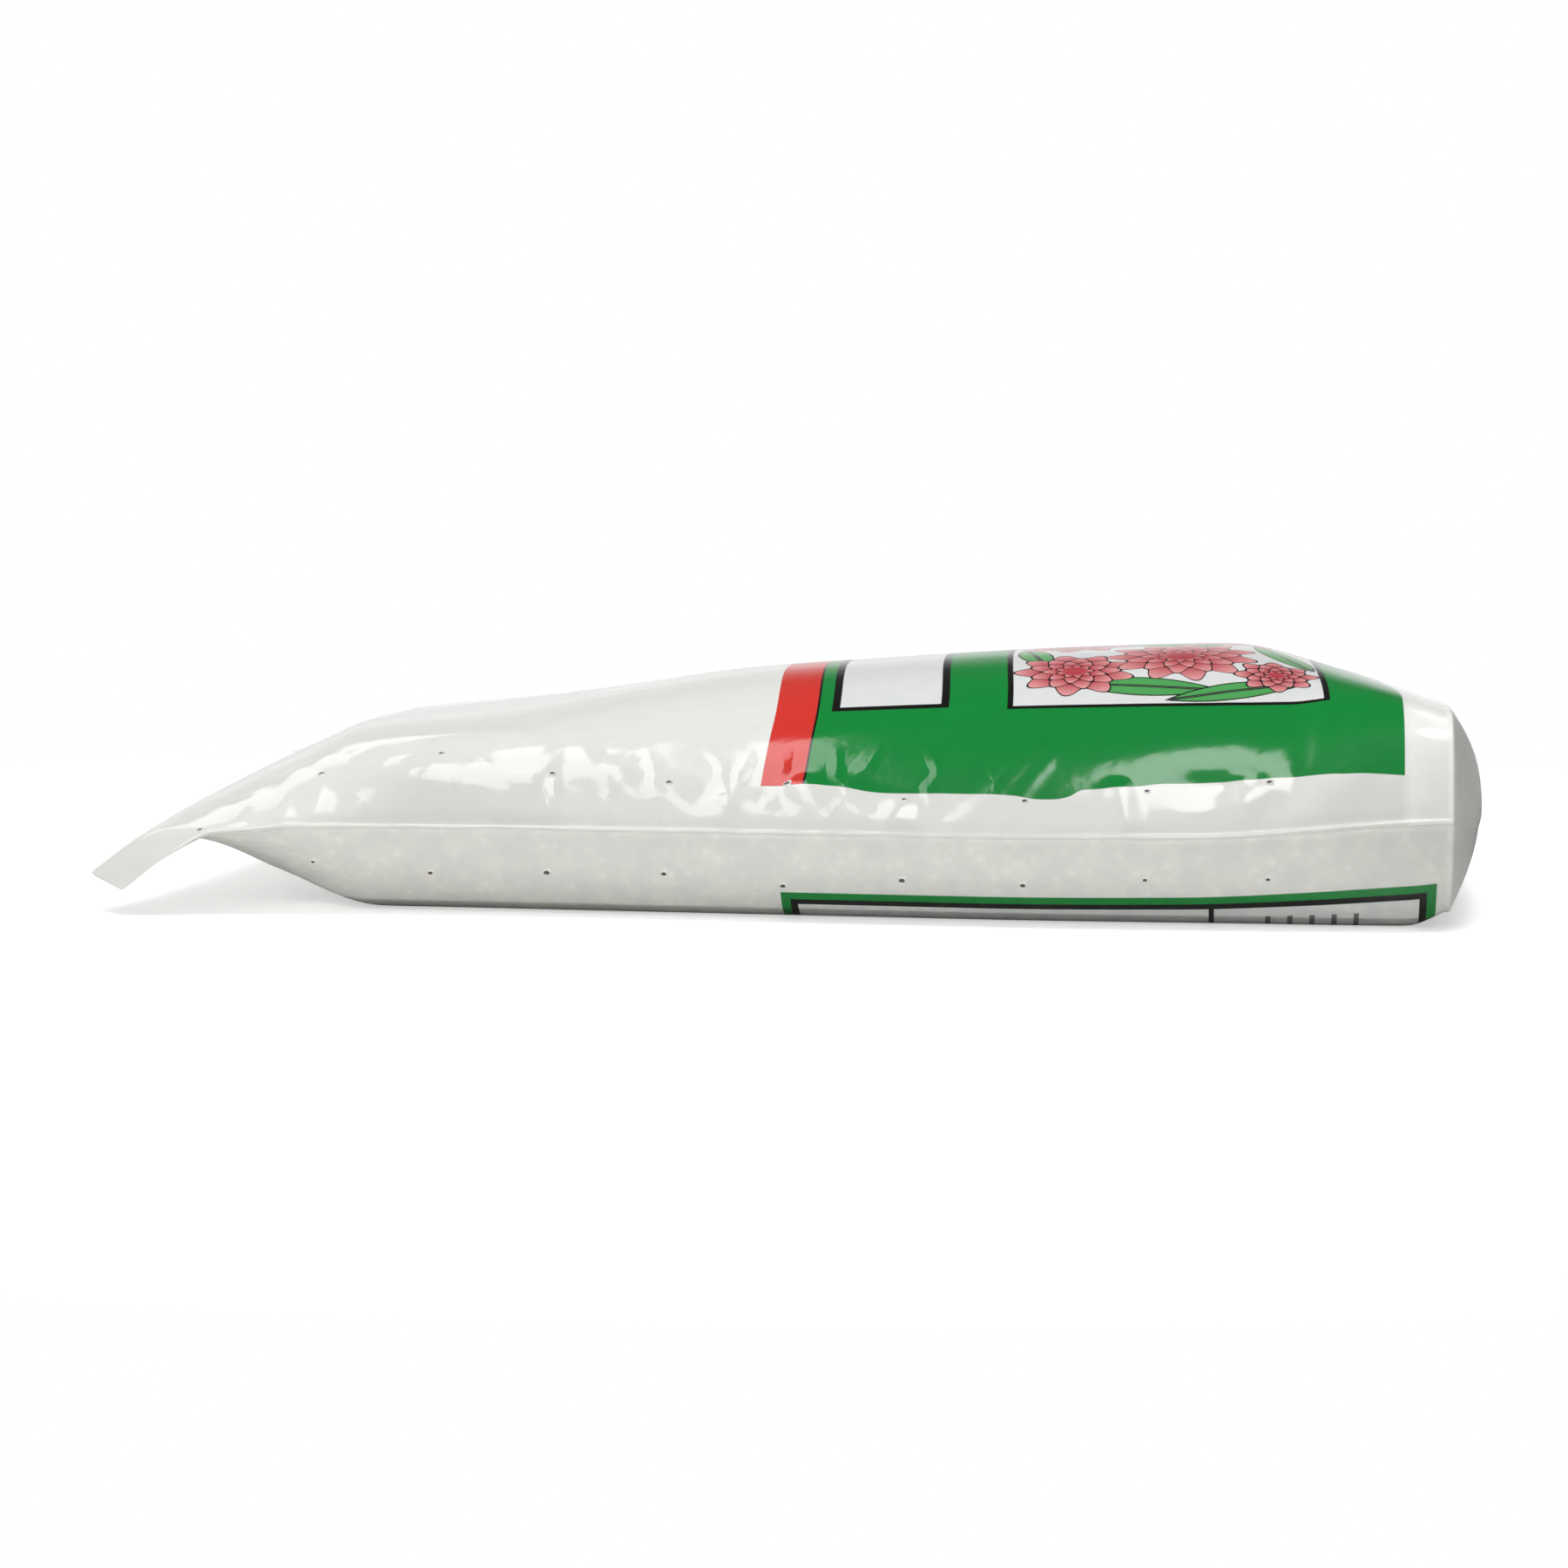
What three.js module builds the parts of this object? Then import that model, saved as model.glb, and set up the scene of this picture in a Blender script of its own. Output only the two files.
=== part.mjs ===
// A filled fertilizer bag lying on its back panel: one white film tube, folded into a flat block
// end at +X and sealed across its mouth at -X. +Z is up, and the front panel looks up.
// The bag is one closed solid, lofted from the block end to the mouth, in millimetres.
import * as THREE from "three";

// The film tube and the space that its contents fill
const LAY_FLAT_WIDTH = 254; // the empty tube, crease to crease
const FILL_LENGTH = 360; // block end to where the bag starts to close towards its mouth
const MOUTH_LENGTH = 47; // that closing stretch, up to the cut edge of the film
const FULL_WIDTH = 224; // crease to crease where the bag is fullest
const CROWN_HEIGHT = 80; // highest point of the front panel
const FLOOR_SHARE = 0.9; // share of the filled stretch that rests on the floor
const CREASE_HEIGHT = 27; // side creases above the floor, along the middle of the bag
const FLOOR_MARGIN = 21.5; // from each side crease in to the edge of the flat contact with the floor

// The block end
const END_HEIGHT = 59; // bottom fold to top fold
const END_LIFT = 2.7; // middle of the bottom fold above the floor
const END_TILT = 3.8; // the near side of the end stands this much above its middle, the far side below
const END_CREASE = 28.5; // side creases above the floor, at the end
const END_ROUND = 13; // length over which the back panel curls up to the bottom fold
const END_BULGE = 12; // how far the contents push the end panel out
const END_SQUARING = 80; // length over which the round section turns into the square end
const FLAP_OVERLAP = 4; // how far the upper end flap laps below the middle of the end panel
const FLAP_STEP = 0.9; // the upper flap's edge stands this proud of the lower flap

// The sealed mouth
const SEAL_BAND = 6; // width of the heat seal along the cut edge
const SEAL_THICKNESS = 1; // the two films and the trapped air between them
const MOUTH_CREST = 20.5; // middle of the cut edge above the floor

// The mouth's corners hang down as flat ears, each between a ridge and the crease
const EAR_LENGTH = 43; // from the corner back along the crease
const EAR_WIDTH = 10; // from the crease in to the ridge
const EAR_RIDGE = 9; // height that the cut edge falls to beside an ear
const EAR_DROP = 18; // how far the corner hangs below the crease
const EAR_SWEEP = 11; // how far the corner lies back from the cut edge

// The side creases and the folds above them
const LIP_HEIGHT = 1.6; // the pinched film stands this proud along each crease
const LIP_WIDTH = 3.5; // height of that pinch, along the section

// Shape of the section
const ARCH_POWER = 2.4; // roundness of the front panel in the middle of the bag
const SHOULDER_POWER = 5.6; // and before the mouth, where the film is wide for its filling
const MOUTH_POWER = 2.2; // and at the mouth
const END_POWER = 11; // and at the block end, where it is nearly square
const SIDE_POWER = 2.4; // roundness of the lower side, from the floor up to the crease
const MOUTH_SIDE_POWER = 2.2; // and at the mouth
const END_SIDE_POWER = 3.2; // and at the block end
const UPPER_SWELL = 2.6; // fullness of the end panel above its seam
const LOWER_SWELL = 1.6; // and below it
const SIDE_SWELL = 0.2; // share of the end bulge that is left at the ends of the seam

// Resolution of the solid
const PANEL_STEPS = 34; // faces across each panel
const FILL_STEPS = 58; // faces along the filled stretch
const MOUTH_STEPS = 8; // faces along the closing stretch, before the seal
const END_RINGS = 4; // faces from the edge of the end panel in to its middle
const EDGE_CROWDING = 0.55; // how much closer together the faces lie towards the creases

const floorEnd = FLOOR_SHARE * FILL_LENGTH;
const mouthEdge = FILL_LENGTH + MOUTH_LENGTH;
const sealStart = mouthEdge - SEAL_BAND;
const earStart = mouthEdge - EAR_LENGTH;
const endTop = END_LIFT + END_HEIGHT;
const endSeam = END_LIFT + END_HEIGHT / 2 - FLAP_OVERLAP;
const endHalfWidth = (LAY_FLAT_WIDTH - END_HEIGHT) / 2;
const flatHalfWidth = LAY_FLAT_WIDTH / 2;
const fullHalfWidth = FULL_WIDTH / 2;

// Folds above the near crease. Each is a bent crest of [share of the fill length, rise] points, with its
// height and the reach of its flanks.
const SIDE_FOLDS = [
  { crest: [[0.895, 3], [0.895, 19], [0.878, 31]], height: 1.8, reach: 9 },
  { crest: [[0.867, 26], [0.803, 19], [0.78, 4]], height: 3, reach: 22 },
  { crest: [[0.8, 46], [0.794, 25]], height: 2.2, reach: 9 },
  { crest: [[0.775, 30], [0.747, 3]], height: 2.6, reach: 9 },
  { crest: [[0.75, 46], [0.739, 25]], height: 2.4, reach: 12 },
  { crest: [[0.708, 30], [0.667, 3]], height: 2.8, reach: 15 },
  { crest: [[0.611, 3], [0.603, 14], [0.547, 4]], height: 1.6, reach: 12 },
  { crest: [[0.525, 17], [0.467, 4]], height: 1.4, reach: 12 },
  { crest: [[0.35, 27], [0.4, 3]], height: 1.8, reach: 8 },
  { crest: [[0.233, 33], [0.267, 31], [0.33, 1]], height: 2.6, reach: 14 },
  { crest: [[0.178, 33], [0.094, 21], [0.022, 17]], height: 2, reach: 18 },
];

const clamp01 = (value) => Math.min(1, Math.max(0, value));
const ease = (value) => THREE.MathUtils.smoothstep(value, 0, 1);

// A curve through [station, value] points that never swings past them.
function smoothLine(points) {
  const count = points.length;
  const chord = (i) => (points[i + 1][1] - points[i][1]) / (points[i + 1][0] - points[i][0]);
  const slopes = points.map((_, i) => {
    if (i === 0) return chord(0);
    if (i === count - 1) return chord(count - 2);
    const before = chord(i - 1);
    const after = chord(i);
    return before * after <= 0 ? 0 : (2 * before * after) / (before + after);
  });
  return (station) => {
    const last = points.findIndex((point) => point[0] >= station);
    const i = Math.max(0, (last < 0 ? count - 1 : last) - 1);
    const [x0, y0] = points[i];
    const [x1, y1] = points[i + 1];
    const span = x1 - x0;
    const t = clamp01((station - x0) / span);
    const bend = (1 - t) * (slopes[i] * span - (y1 - y0)) - t * (slopes[i + 1] * span - (y1 - y0));
    return y0 + t * (y1 - y0) + t * (1 - t) * bend;
  };
}

// Lines along the bag. A station is the distance from the block end.
const crownLine = smoothLine([
  [0, endTop],
  [0.083 * FILL_LENGTH, 0.893 * CROWN_HEIGHT],
  [0.185 * FILL_LENGTH, CROWN_HEIGHT],
  [0.305 * FILL_LENGTH, 0.982 * CROWN_HEIGHT],
  [0.53 * FILL_LENGTH, 0.913 * CROWN_HEIGHT],
  [0.628 * FILL_LENGTH, 0.872 * CROWN_HEIGHT],
  [0.825 * FILL_LENGTH, 0.722 * CROWN_HEIGHT],
  [0.95 * FILL_LENGTH, 0.675 * CROWN_HEIGHT],
  [FILL_LENGTH, 0.595 * CROWN_HEIGHT],
  [sealStart, MOUTH_CREST + SEAL_BAND / 2 + SEAL_THICKNESS / 2],
  [mouthEdge, MOUTH_CREST + SEAL_THICKNESS / 2],
]);
const bellyLine = smoothLine([
  [0, END_LIFT],
  [END_ROUND, 0],
  [floorEnd, 0],
  [FILL_LENGTH, 0.3 * CREASE_HEIGHT],
  [sealStart, MOUTH_CREST + SEAL_BAND / 2 - SEAL_THICKNESS / 2],
  [mouthEdge, MOUTH_CREST - SEAL_THICKNESS / 2],
]);
const creaseLine = smoothLine([
  [0, END_CREASE],
  [0.4 * FILL_LENGTH, CREASE_HEIGHT],
  [0.96 * FILL_LENGTH, CREASE_HEIGHT],
  [FILL_LENGTH, 0.95 * CREASE_HEIGHT],
  [FILL_LENGTH + 0.55 * MOUTH_LENGTH, 0.87 * CREASE_HEIGHT],
  [FILL_LENGTH + 0.7 * MOUTH_LENGTH, 0.78 * CREASE_HEIGHT],
  [mouthEdge, EAR_RIDGE],
]);
const widthLine = smoothLine([
  [0, endHalfWidth],
  [0.12 * FILL_LENGTH, 0.5 * (endHalfWidth + fullHalfWidth)],
  [0.4 * FILL_LENGTH, fullHalfWidth],
  [0.78 * FILL_LENGTH, fullHalfWidth],
  [FILL_LENGTH, 0.4 * fullHalfWidth + 0.6 * flatHalfWidth],
  [FILL_LENGTH + 0.7 * MOUTH_LENGTH, flatHalfWidth],
  [mouthEdge, flatHalfWidth],
]);
const marginLine = smoothLine([
  [0, 0.8 * FLOOR_MARGIN],
  [0.25 * FILL_LENGTH, FLOOR_MARGIN],
  [0.78 * FILL_LENGTH, 1.1 * FLOOR_MARGIN],
  [floorEnd, 1.3 * FLOOR_MARGIN],
  [FILL_LENGTH, 0.55 * fullHalfWidth],
  [sealStart, flatHalfWidth],
  [mouthEdge, flatHalfWidth],
]);
const archLine = smoothLine([
  [0, END_POWER],
  [0.25 * END_SQUARING, 0.55 * END_POWER],
  [0.45 * END_SQUARING, 1.5 * ARCH_POWER],
  [0.6 * END_SQUARING, 1.12 * ARCH_POWER],
  [0.8 * END_SQUARING, ARCH_POWER],
  [0.57 * FILL_LENGTH, ARCH_POWER],
  [0.694 * FILL_LENGTH, 0.57 * SHOULDER_POWER],
  [0.833 * FILL_LENGTH, SHOULDER_POWER],
  [0.917 * FILL_LENGTH, 0.82 * SHOULDER_POWER],
  [FILL_LENGTH, 0.54 * SHOULDER_POWER],
  [mouthEdge, MOUTH_POWER],
]);

// How square the section is: 1 at the block end, 0 in the round part of the bag.
const squareness = (station) => ease(1 - station / END_SQUARING) ** 2;

// How flat the section is: 0 in the round part of the bag, 1 from the seal on.
const flatness = (station) => ease((station - floorEnd) / (sealStart - floorEnd));

// A value that is one thing in the round part, another at the block end and a third at the mouth.
function blend(station, middle, end, mouth) {
  return middle + (end - middle) * squareness(station) + (mouth - middle) * flatness(station);
}

// The block end leans a little: its near side stands higher than its far side.
const endTilt = (station, share) => -END_TILT * share * ease(1 - station / END_SQUARING);

// Height of the front panel at a share of the half width, -1 at the near crease.
function frontHeight(station, share) {
  const arch = 1 - Math.abs(share) ** archLine(station);
  const crease = creaseLine(station);
  return crease + (crownLine(station) - crease) * arch + endTilt(station, share);
}

// Height of the back panel: flat on the floor, then up to the crease.
function backHeight(station, share) {
  const halfWidth = widthLine(station);
  const margin = marginLine(station);
  const climb = clamp01((Math.abs(share) * halfWidth - (halfWidth - margin)) / margin);
  const power = blend(station, SIDE_POWER, END_SIDE_POWER, MOUTH_SIDE_POWER);
  const lean = station < END_ROUND ? share : 0;
  const belly = bellyLine(station) * (1 - lean);
  const crease = creaseLine(station) + endTilt(station, Math.sign(share));
  return belly + (crease - belly) * climb ** power;
}

// Distance of a place on the film from a bent crest.
function awayFrom(crest, place) {
  const bends = crest.map(([share, rise]) => new THREE.Vector3(share * FILL_LENGTH, rise, 0));
  const stretches = bends.slice(1).map((end, i) => new THREE.Line3(bends[i], end));
  const nearest = new THREE.Vector3();
  return Math.min(...stretches.map((s) => s.closestPointToPoint(place, true, nearest).distanceTo(place)));
}

// Lift of the side folds at a rise above the crease. The far side has them in reverse order.
function sideFolds(station, rise, isNear) {
  const place = new THREE.Vector3(isNear ? station : FILL_LENGTH - station, rise, 0);
  const lifts = SIDE_FOLDS.map((fold) => fold.height * (1 - awayFrom(fold.crest, place) / fold.reach));
  return Math.max(0, ...lifts);
}

// One closed ring of the section: over the front panel from the near crease, and back underneath.
function ring(station) {
  const halfWidth = widthLine(station);
  const isSquare = squareness(station);
  const shares = Array.from({ length: PANEL_STEPS + 1 }, (_, i) => {
    const even = (2 * i) / PANEL_STEPS - 1;
    const crowded = Math.sin((Math.PI / 2) * even);
    return THREE.MathUtils.lerp(even, crowded, THREE.MathUtils.lerp(EDGE_CROWDING, 1, isSquare));
  });
  const front = shares.map((share) => new THREE.Vector2(share * halfWidth, frontHeight(station, share)));
  const back = shares.map((share) => new THREE.Vector2(share * halfWidth, backHeight(station, share)));
  dressSides(front, station);
  const film = [...front, ...back.slice(1, -1).reverse()].map((p) => new THREE.Vector3(-station, p.x, p.y));
  hangEars(film, station);
  return film;
}

// Pushes the front panel out along its folds, and each crease out along its pinched lip.
function dressSides(front, station) {
  const folded = 1 - ease((station - FILL_LENGTH) / (MOUTH_LENGTH - SEAL_BAND));
  const squareEnd = ease(station / END_ROUND);
  const last = front.length - 1;
  const rise = [0];
  for (let i = 1; i <= last; i++) rise.push(rise[i - 1] + front[i].distanceTo(front[i - 1]));
  const outward = front.map((_, i) => {
    const tangent = front[Math.min(i + 1, last)].clone().sub(front[Math.max(i - 1, 0)]);
    return new THREE.Vector2(-tangent.y, tangent.x).normalize();
  });
  front.forEach((point, i) => {
    const isNear = i <= last / 2;
    const fromCrease = isNear ? rise[i] : rise[last] - rise[i];
    const lift = sideFolds(station, fromCrease, isNear) * ease(fromCrease / LIP_WIDTH);
    point.addScaledVector(outward[i], folded * squareEnd * lift);
    const lip = LIP_HEIGHT * folded * squareEnd * Math.exp(-((fromCrease / LIP_WIDTH) ** 2));
    point.x += isNear ? -lip : lip;
  });
}

// Hangs each corner of the mouth down and back, and lays the film beside it flat.
function hangEars(film, station) {
  const t = clamp01((station - earStart) / EAR_LENGTH);
  if (t === 0) return;
  const width = EAR_WIDTH * ease(0.1 + 2 * t);
  for (const corner of [0, PANEL_STEPS]) {
    const hung = film[corner].clone();
    hung.x += EAR_SWEEP * t ** 1.5;
    hung.z = creaseLine(earStart) - EAR_DROP * t ** 1.2;
    for (const step of [1, -1]) layFlat(film, corner, step, hung, width);
    film[corner].copy(hung);
  }
}

// Lays the film from a ridge, a width away from the crease, straight to the hung corner.
function layFlat(film, corner, step, hung, width) {
  const column = (n) => film[(corner + step * n + film.length) % film.length];
  const away = [0];
  let last = 0;
  while (away[last] < width) {
    away.push(away[last] + column(last + 1).distanceTo(column(last)));
    last += 1;
  }
  const past = (away[last] - width) / (away[last] - away[last - 1]);
  const ridge = column(last).clone().lerp(column(last - 1), past);
  for (let n = 1; n < last; n++) column(n).lerpVectors(hung, ridge, away[n] / width);
}

// Stations of the loft, closer together towards the seal.
function stations() {
  const fill = Array.from({ length: FILL_STEPS }, (_, i) => (i / FILL_STEPS) * FILL_LENGTH);
  const closing = Array.from(
    { length: MOUTH_STEPS },
    (_, i) => FILL_LENGTH + (i / MOUTH_STEPS) * (sealStart - FILL_LENGTH),
  );
  return [...fill, ...closing, sealStart, mouthEdge];
}

// The bag's surface: rings of the loft, the hipped end panel and the cut edge of the mouth.
function bagGeometry() {
  const points = [];
  const faces = [];
  const around = 2 * PANEL_STEPS;
  const quad = (a, b, c, d) => faces.push(a, b, c, a, c, d);
  const below = (i) => (i === 0 || i === PANEL_STEPS ? i : around - i);

  const loft = stations();
  loft.forEach((station) => ring(station).forEach((p) => points.push(p.x, p.y, p.z)));
  for (let k = 0; k + 1 < loft.length; k++) {
    for (let i = 0; i < around; i++) {
      const next = (i + 1) % around;
      quad(k * around + i, k * around + next, (k + 1) * around + next, (k + 1) * around + i);
    }
  }

  const cut = (loft.length - 1) * around;
  for (let i = 0; i < PANEL_STEPS; i++) {
    quad(cut + i, cut + i + 1, cut + below(i + 1), cut + below(i));
  }

  addEndPanel(points, faces, around, quad, below);
  const geometry = new THREE.BufferGeometry();
  geometry.setAttribute("position", new THREE.Float32BufferAttribute(points, 3));
  geometry.setIndex(faces);
  return geometry;
}

// The block end: two flaps that close over the middle, hipped at the sides, with the upper on top.
function addEndPanel(points, faces, around, quad, below) {
  const edge = ring(0);
  const seamHalfWidth = endHalfWidth - END_HEIGHT / 2;
  let outer = edge.map((_, i) => i);
  for (let k = 1; k <= END_RINGS; k++) {
    const share = k / END_RINGS;
    const inner = edge.map((p, i) => {
      const isLower = i > PANEL_STEPS;
      const across = (2 * (isLower ? around - i : i)) / PANEL_STEPS - 1;
      const swell = 1 - (1 - share) ** (isLower ? LOWER_SWELL : UPPER_SWELL);
      const bulge = END_BULGE * swell * Math.sqrt(1 - (1 - SIDE_SWELL ** 2) * across ** 2);
      const y = THREE.MathUtils.lerp(p.y, across * seamHalfWidth, share);
      const z = THREE.MathUtils.lerp(p.z, endSeam, share);
      points.push(bulge + (isLower ? 0 : FLAP_STEP * share), y, z);
      return points.length / 3 - 1;
    });
    for (let i = 0; i < around; i++) {
      const next = (i + 1) % around;
      quad(outer[i], inner[i], inner[next], outer[next]);
    }
    outer = inner;
  }
  for (let i = 0; i < PANEL_STEPS; i++) {
    quad(outer[i], outer[below(i)], outer[below(i + 1)], outer[i + 1]);
  }
}

const film = new THREE.MeshStandardMaterial({ color: 0xe6e6e2, roughness: 0.3, metalness: 0 });
const bag = new THREE.Mesh(bagGeometry(), film);
bag.name = "fertilizer_bag";

// The origin is on the floor, under the middle of the bag's outline.
bag.geometry.computeBoundingBox();
const box = bag.geometry.boundingBox;
bag.geometry.translate(-(box.min.x + box.max.x) / 2, -(box.min.y + box.max.y) / 2, -box.min.z);

const part = new THREE.Group();
part.add(bag);

export default part;
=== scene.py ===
"""A filled fertilizer bag on its back: a printed white film tube, block end at +X, sealed mouth at -X.

The film is a grid of film coordinates, station by girth, laid on the solid's form and let buckle by cloth
simulation over a body of granules. All sizes are in metres.
"""

import math

import bpy
import numpy as np
from mathutils import Matrix, Vector


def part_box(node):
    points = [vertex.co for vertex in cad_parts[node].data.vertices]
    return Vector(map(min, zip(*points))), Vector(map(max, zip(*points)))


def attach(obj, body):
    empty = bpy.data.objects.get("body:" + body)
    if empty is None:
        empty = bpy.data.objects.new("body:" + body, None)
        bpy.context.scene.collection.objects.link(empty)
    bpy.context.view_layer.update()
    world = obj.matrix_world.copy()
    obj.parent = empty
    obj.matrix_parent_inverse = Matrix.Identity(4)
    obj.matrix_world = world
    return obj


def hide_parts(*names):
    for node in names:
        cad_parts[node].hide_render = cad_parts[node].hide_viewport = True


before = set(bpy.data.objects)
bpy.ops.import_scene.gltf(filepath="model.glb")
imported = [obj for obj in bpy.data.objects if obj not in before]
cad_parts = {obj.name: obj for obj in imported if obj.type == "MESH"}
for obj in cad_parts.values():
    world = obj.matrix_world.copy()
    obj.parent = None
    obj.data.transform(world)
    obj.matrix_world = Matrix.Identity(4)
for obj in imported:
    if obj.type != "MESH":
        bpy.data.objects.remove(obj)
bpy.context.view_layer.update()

MM = 0.001
NODE = "fertilizer_bag"
box_low, box_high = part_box(NODE)

# The film tube and the space that its contents fill
LAY_FLAT_WIDTH = 254 * MM
FILL_LENGTH = 360 * MM
MOUTH_LENGTH = 47 * MM
FULL_WIDTH = 224 * MM
CROWN_HEIGHT = box_high[2] - box_low[2]
FLOOR_SHARE = 0.9
CREASE_HEIGHT = 27 * MM
FLOOR_MARGIN = 21.5 * MM

# The block end
END_HEIGHT = 59 * MM
END_LIFT = 2.7 * MM
END_TILT = 3.8 * MM
END_CREASE = 28.5 * MM
END_ROUND = 13 * MM
END_BULGE = 12 * MM
END_SQUARING = 80 * MM
FLAP_OVERLAP = 4 * MM
FLAP_STEP = 0.9 * MM

# The sealed mouth
SEAL_BAND = 6 * MM
SEAL_THICKNESS = 0.6 * MM
MOUTH_CREST = 23.5 * MM

# The mouth's corners hang down as flat ears, between a ridge and the crease
EAR_LENGTH = 43 * MM
EAR_WIDTH = 10 * MM
EAR_RIDGE = 9 * MM
EAR_DROP = 18 * MM
EAR_SWEEP = 11 * MM
EAR_STRETCH = 3 * MM
EAR_FADE = 5 * EAR_WIDTH
# How an ear widens, and the powers of its drop, sweep and stretch along it
EAR_OPENING = 0.04
EAR_WIDENING = 1.5
EAR_DROP_POWER = 1.2
EAR_SWEEP_POWER = 1.5
EAR_STRETCH_POWER = 3

# Roundness of the front panel: in the middle, before the mouth, at the mouth and at the block end
ARCH_POWER = 2.4
SHOULDER_POWER = 5.6
MOUTH_POWER = 2.2
END_POWER = 11
# Roundness of the section's lower side: in the middle, at the block end and at the mouth
SIDE_POWERS = (2.4, 3.2, 2.2)
# How the block end swells: its upper flap, its lower flap, its corners, and the ends of its seam
UPPER_SWELL = 2.6
LOWER_SWELL = 1.25
CORNER_SWELL = 2.1
SIDE_SWELL = 0.7

# Steps of the film's grid
LIP_COLUMNS = (0, 0.6 * MM, 1.2 * MM)
LIP_ROOT = 2.2 * MM
FOLD_REACH = 48 * MM
FOLD_COLUMNS = 21
CROWN_COLUMNS = 9
PANEL_STEPS = 2 * (len(LIP_COLUMNS) + FOLD_COLUMNS + CROWN_COLUMNS)
STATION_STEP = 2.3 * MM
END_SHARES = (0.03, 0.12, 0.3, 0.5, 0.75, 1)
END_STATIONS = (0, 0.7 * MM, 1.6 * MM)
SEAL_STEPS = 3
SECTION_SAMPLES = 801

floor_end = FLOOR_SHARE * FILL_LENGTH
mouth_edge = FILL_LENGTH + MOUTH_LENGTH
seal_start = mouth_edge - SEAL_BAND
ear_start = mouth_edge - EAR_LENGTH
end_top = END_LIFT + END_HEIGHT
end_seam = END_LIFT + END_HEIGHT / 2 - FLAP_OVERLAP
end_half_width = (LAY_FLAT_WIDTH - END_HEIGHT) / 2
flat_half_width = LAY_FLAT_WIDTH / 2
full_half_width = FULL_WIDTH / 2
end_plane = box_high[0] - END_BULGE - FLAP_STEP


def clamp01(value):
    return np.clip(value, 0, 1)


def ease(value):
    t = clamp01(value)
    return t * t * (3 - 2 * t)


def smooth_line(points):
    """A curve through (place, value) points that never swings past them."""
    x, y = np.array(points, float).T
    chord = np.diff(y) / np.diff(x)
    before, after = chord[:-1], chord[1:]
    same = before * after > 0
    inner = np.where(same, 2 * before * after / np.where(same, before + after, 1), 0)
    slope = np.concatenate([chord[:1], inner, chord[-1:]])

    def at(place):
        i = np.clip(np.searchsorted(x, place) - 1, 0, len(x) - 2)
        span = x[i + 1] - x[i]
        rise = y[i + 1] - y[i]
        t = clamp01((place - x[i]) / span)
        bend = (1 - t) * (slope[i] * span - rise) - t * (slope[i + 1] * span - rise)
        return y[i] + t * rise + t * (1 - t) * bend

    return at


# Height of the crown, as shares of the filled length and of its greatest height
CROWN_SHARES = [
    (0.083, 0.893), (0.185, 1), (0.305, 0.982), (0.53, 0.913),
    (0.628, 0.872), (0.825, 0.722), (0.95, 0.675), (1, 0.595),
]
# Lines along the bag. A station is the distance from the block end.
crown_line = smooth_line([
    (0, end_top),
    *((s * FILL_LENGTH, h * CROWN_HEIGHT) for s, h in CROWN_SHARES),
    (seal_start, MOUTH_CREST + SEAL_BAND / 2 + SEAL_THICKNESS / 2),
    (mouth_edge, MOUTH_CREST + SEAL_THICKNESS / 2),
])
belly_line = smooth_line([
    (0, END_LIFT),
    (END_ROUND, 0),
    (floor_end, 0),
    (FILL_LENGTH, 0.3 * CREASE_HEIGHT),
    (seal_start, MOUTH_CREST + SEAL_BAND / 2 - SEAL_THICKNESS / 2),
    (mouth_edge, MOUTH_CREST - SEAL_THICKNESS / 2),
])
crease_line = smooth_line([
    (0, END_CREASE),
    (0.4 * FILL_LENGTH, CREASE_HEIGHT),
    (0.96 * FILL_LENGTH, CREASE_HEIGHT),
    (FILL_LENGTH, 0.95 * CREASE_HEIGHT),
    (FILL_LENGTH + 0.55 * MOUTH_LENGTH, 0.87 * CREASE_HEIGHT),
    (FILL_LENGTH + 0.7 * MOUTH_LENGTH, 0.78 * CREASE_HEIGHT),
    (mouth_edge, EAR_RIDGE),
])
width_line = smooth_line([
    (0, end_half_width),
    (0.12 * FILL_LENGTH, 0.5 * (end_half_width + full_half_width)),
    (0.4 * FILL_LENGTH, full_half_width),
    (0.78 * FILL_LENGTH, full_half_width),
    (FILL_LENGTH, 0.4 * full_half_width + 0.6 * flat_half_width),
    (FILL_LENGTH + 0.7 * MOUTH_LENGTH, flat_half_width),
    (mouth_edge, flat_half_width),
])
margin_line = smooth_line([
    (0, 0.8 * FLOOR_MARGIN),
    (0.25 * FILL_LENGTH, FLOOR_MARGIN),
    (0.78 * FILL_LENGTH, 1.1 * FLOOR_MARGIN),
    (floor_end, 1.3 * FLOOR_MARGIN),
    (FILL_LENGTH, 0.55 * full_half_width),
    (seal_start, flat_half_width),
    (mouth_edge, flat_half_width),
])
# Roundness of the arch: from box-like, where the film is wide for its filling, to round
arch_line = smooth_line([
    (0, END_POWER),
    (0.25 * END_SQUARING, 0.55 * END_POWER),
    (0.45 * END_SQUARING, 1.5 * ARCH_POWER),
    (0.6 * END_SQUARING, 1.12 * ARCH_POWER),
    (0.8 * END_SQUARING, ARCH_POWER),
    (0.57 * FILL_LENGTH, ARCH_POWER),
    (0.694 * FILL_LENGTH, 0.57 * SHOULDER_POWER),
    (0.833 * FILL_LENGTH, SHOULDER_POWER),
    (0.917 * FILL_LENGTH, 0.82 * SHOULDER_POWER),
    (FILL_LENGTH, 0.54 * SHOULDER_POWER),
    (mouth_edge, MOUTH_POWER),
])


def blend(station, middle, end, mouth):
    """A value from those in the round part, at the block end and at the mouth."""
    squareness = ease(1 - station / END_SQUARING) ** 2
    flatness = ease((station - floor_end) / (seal_start - floor_end))
    return middle + (end - middle) * squareness + (mouth - middle) * flatness


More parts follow.
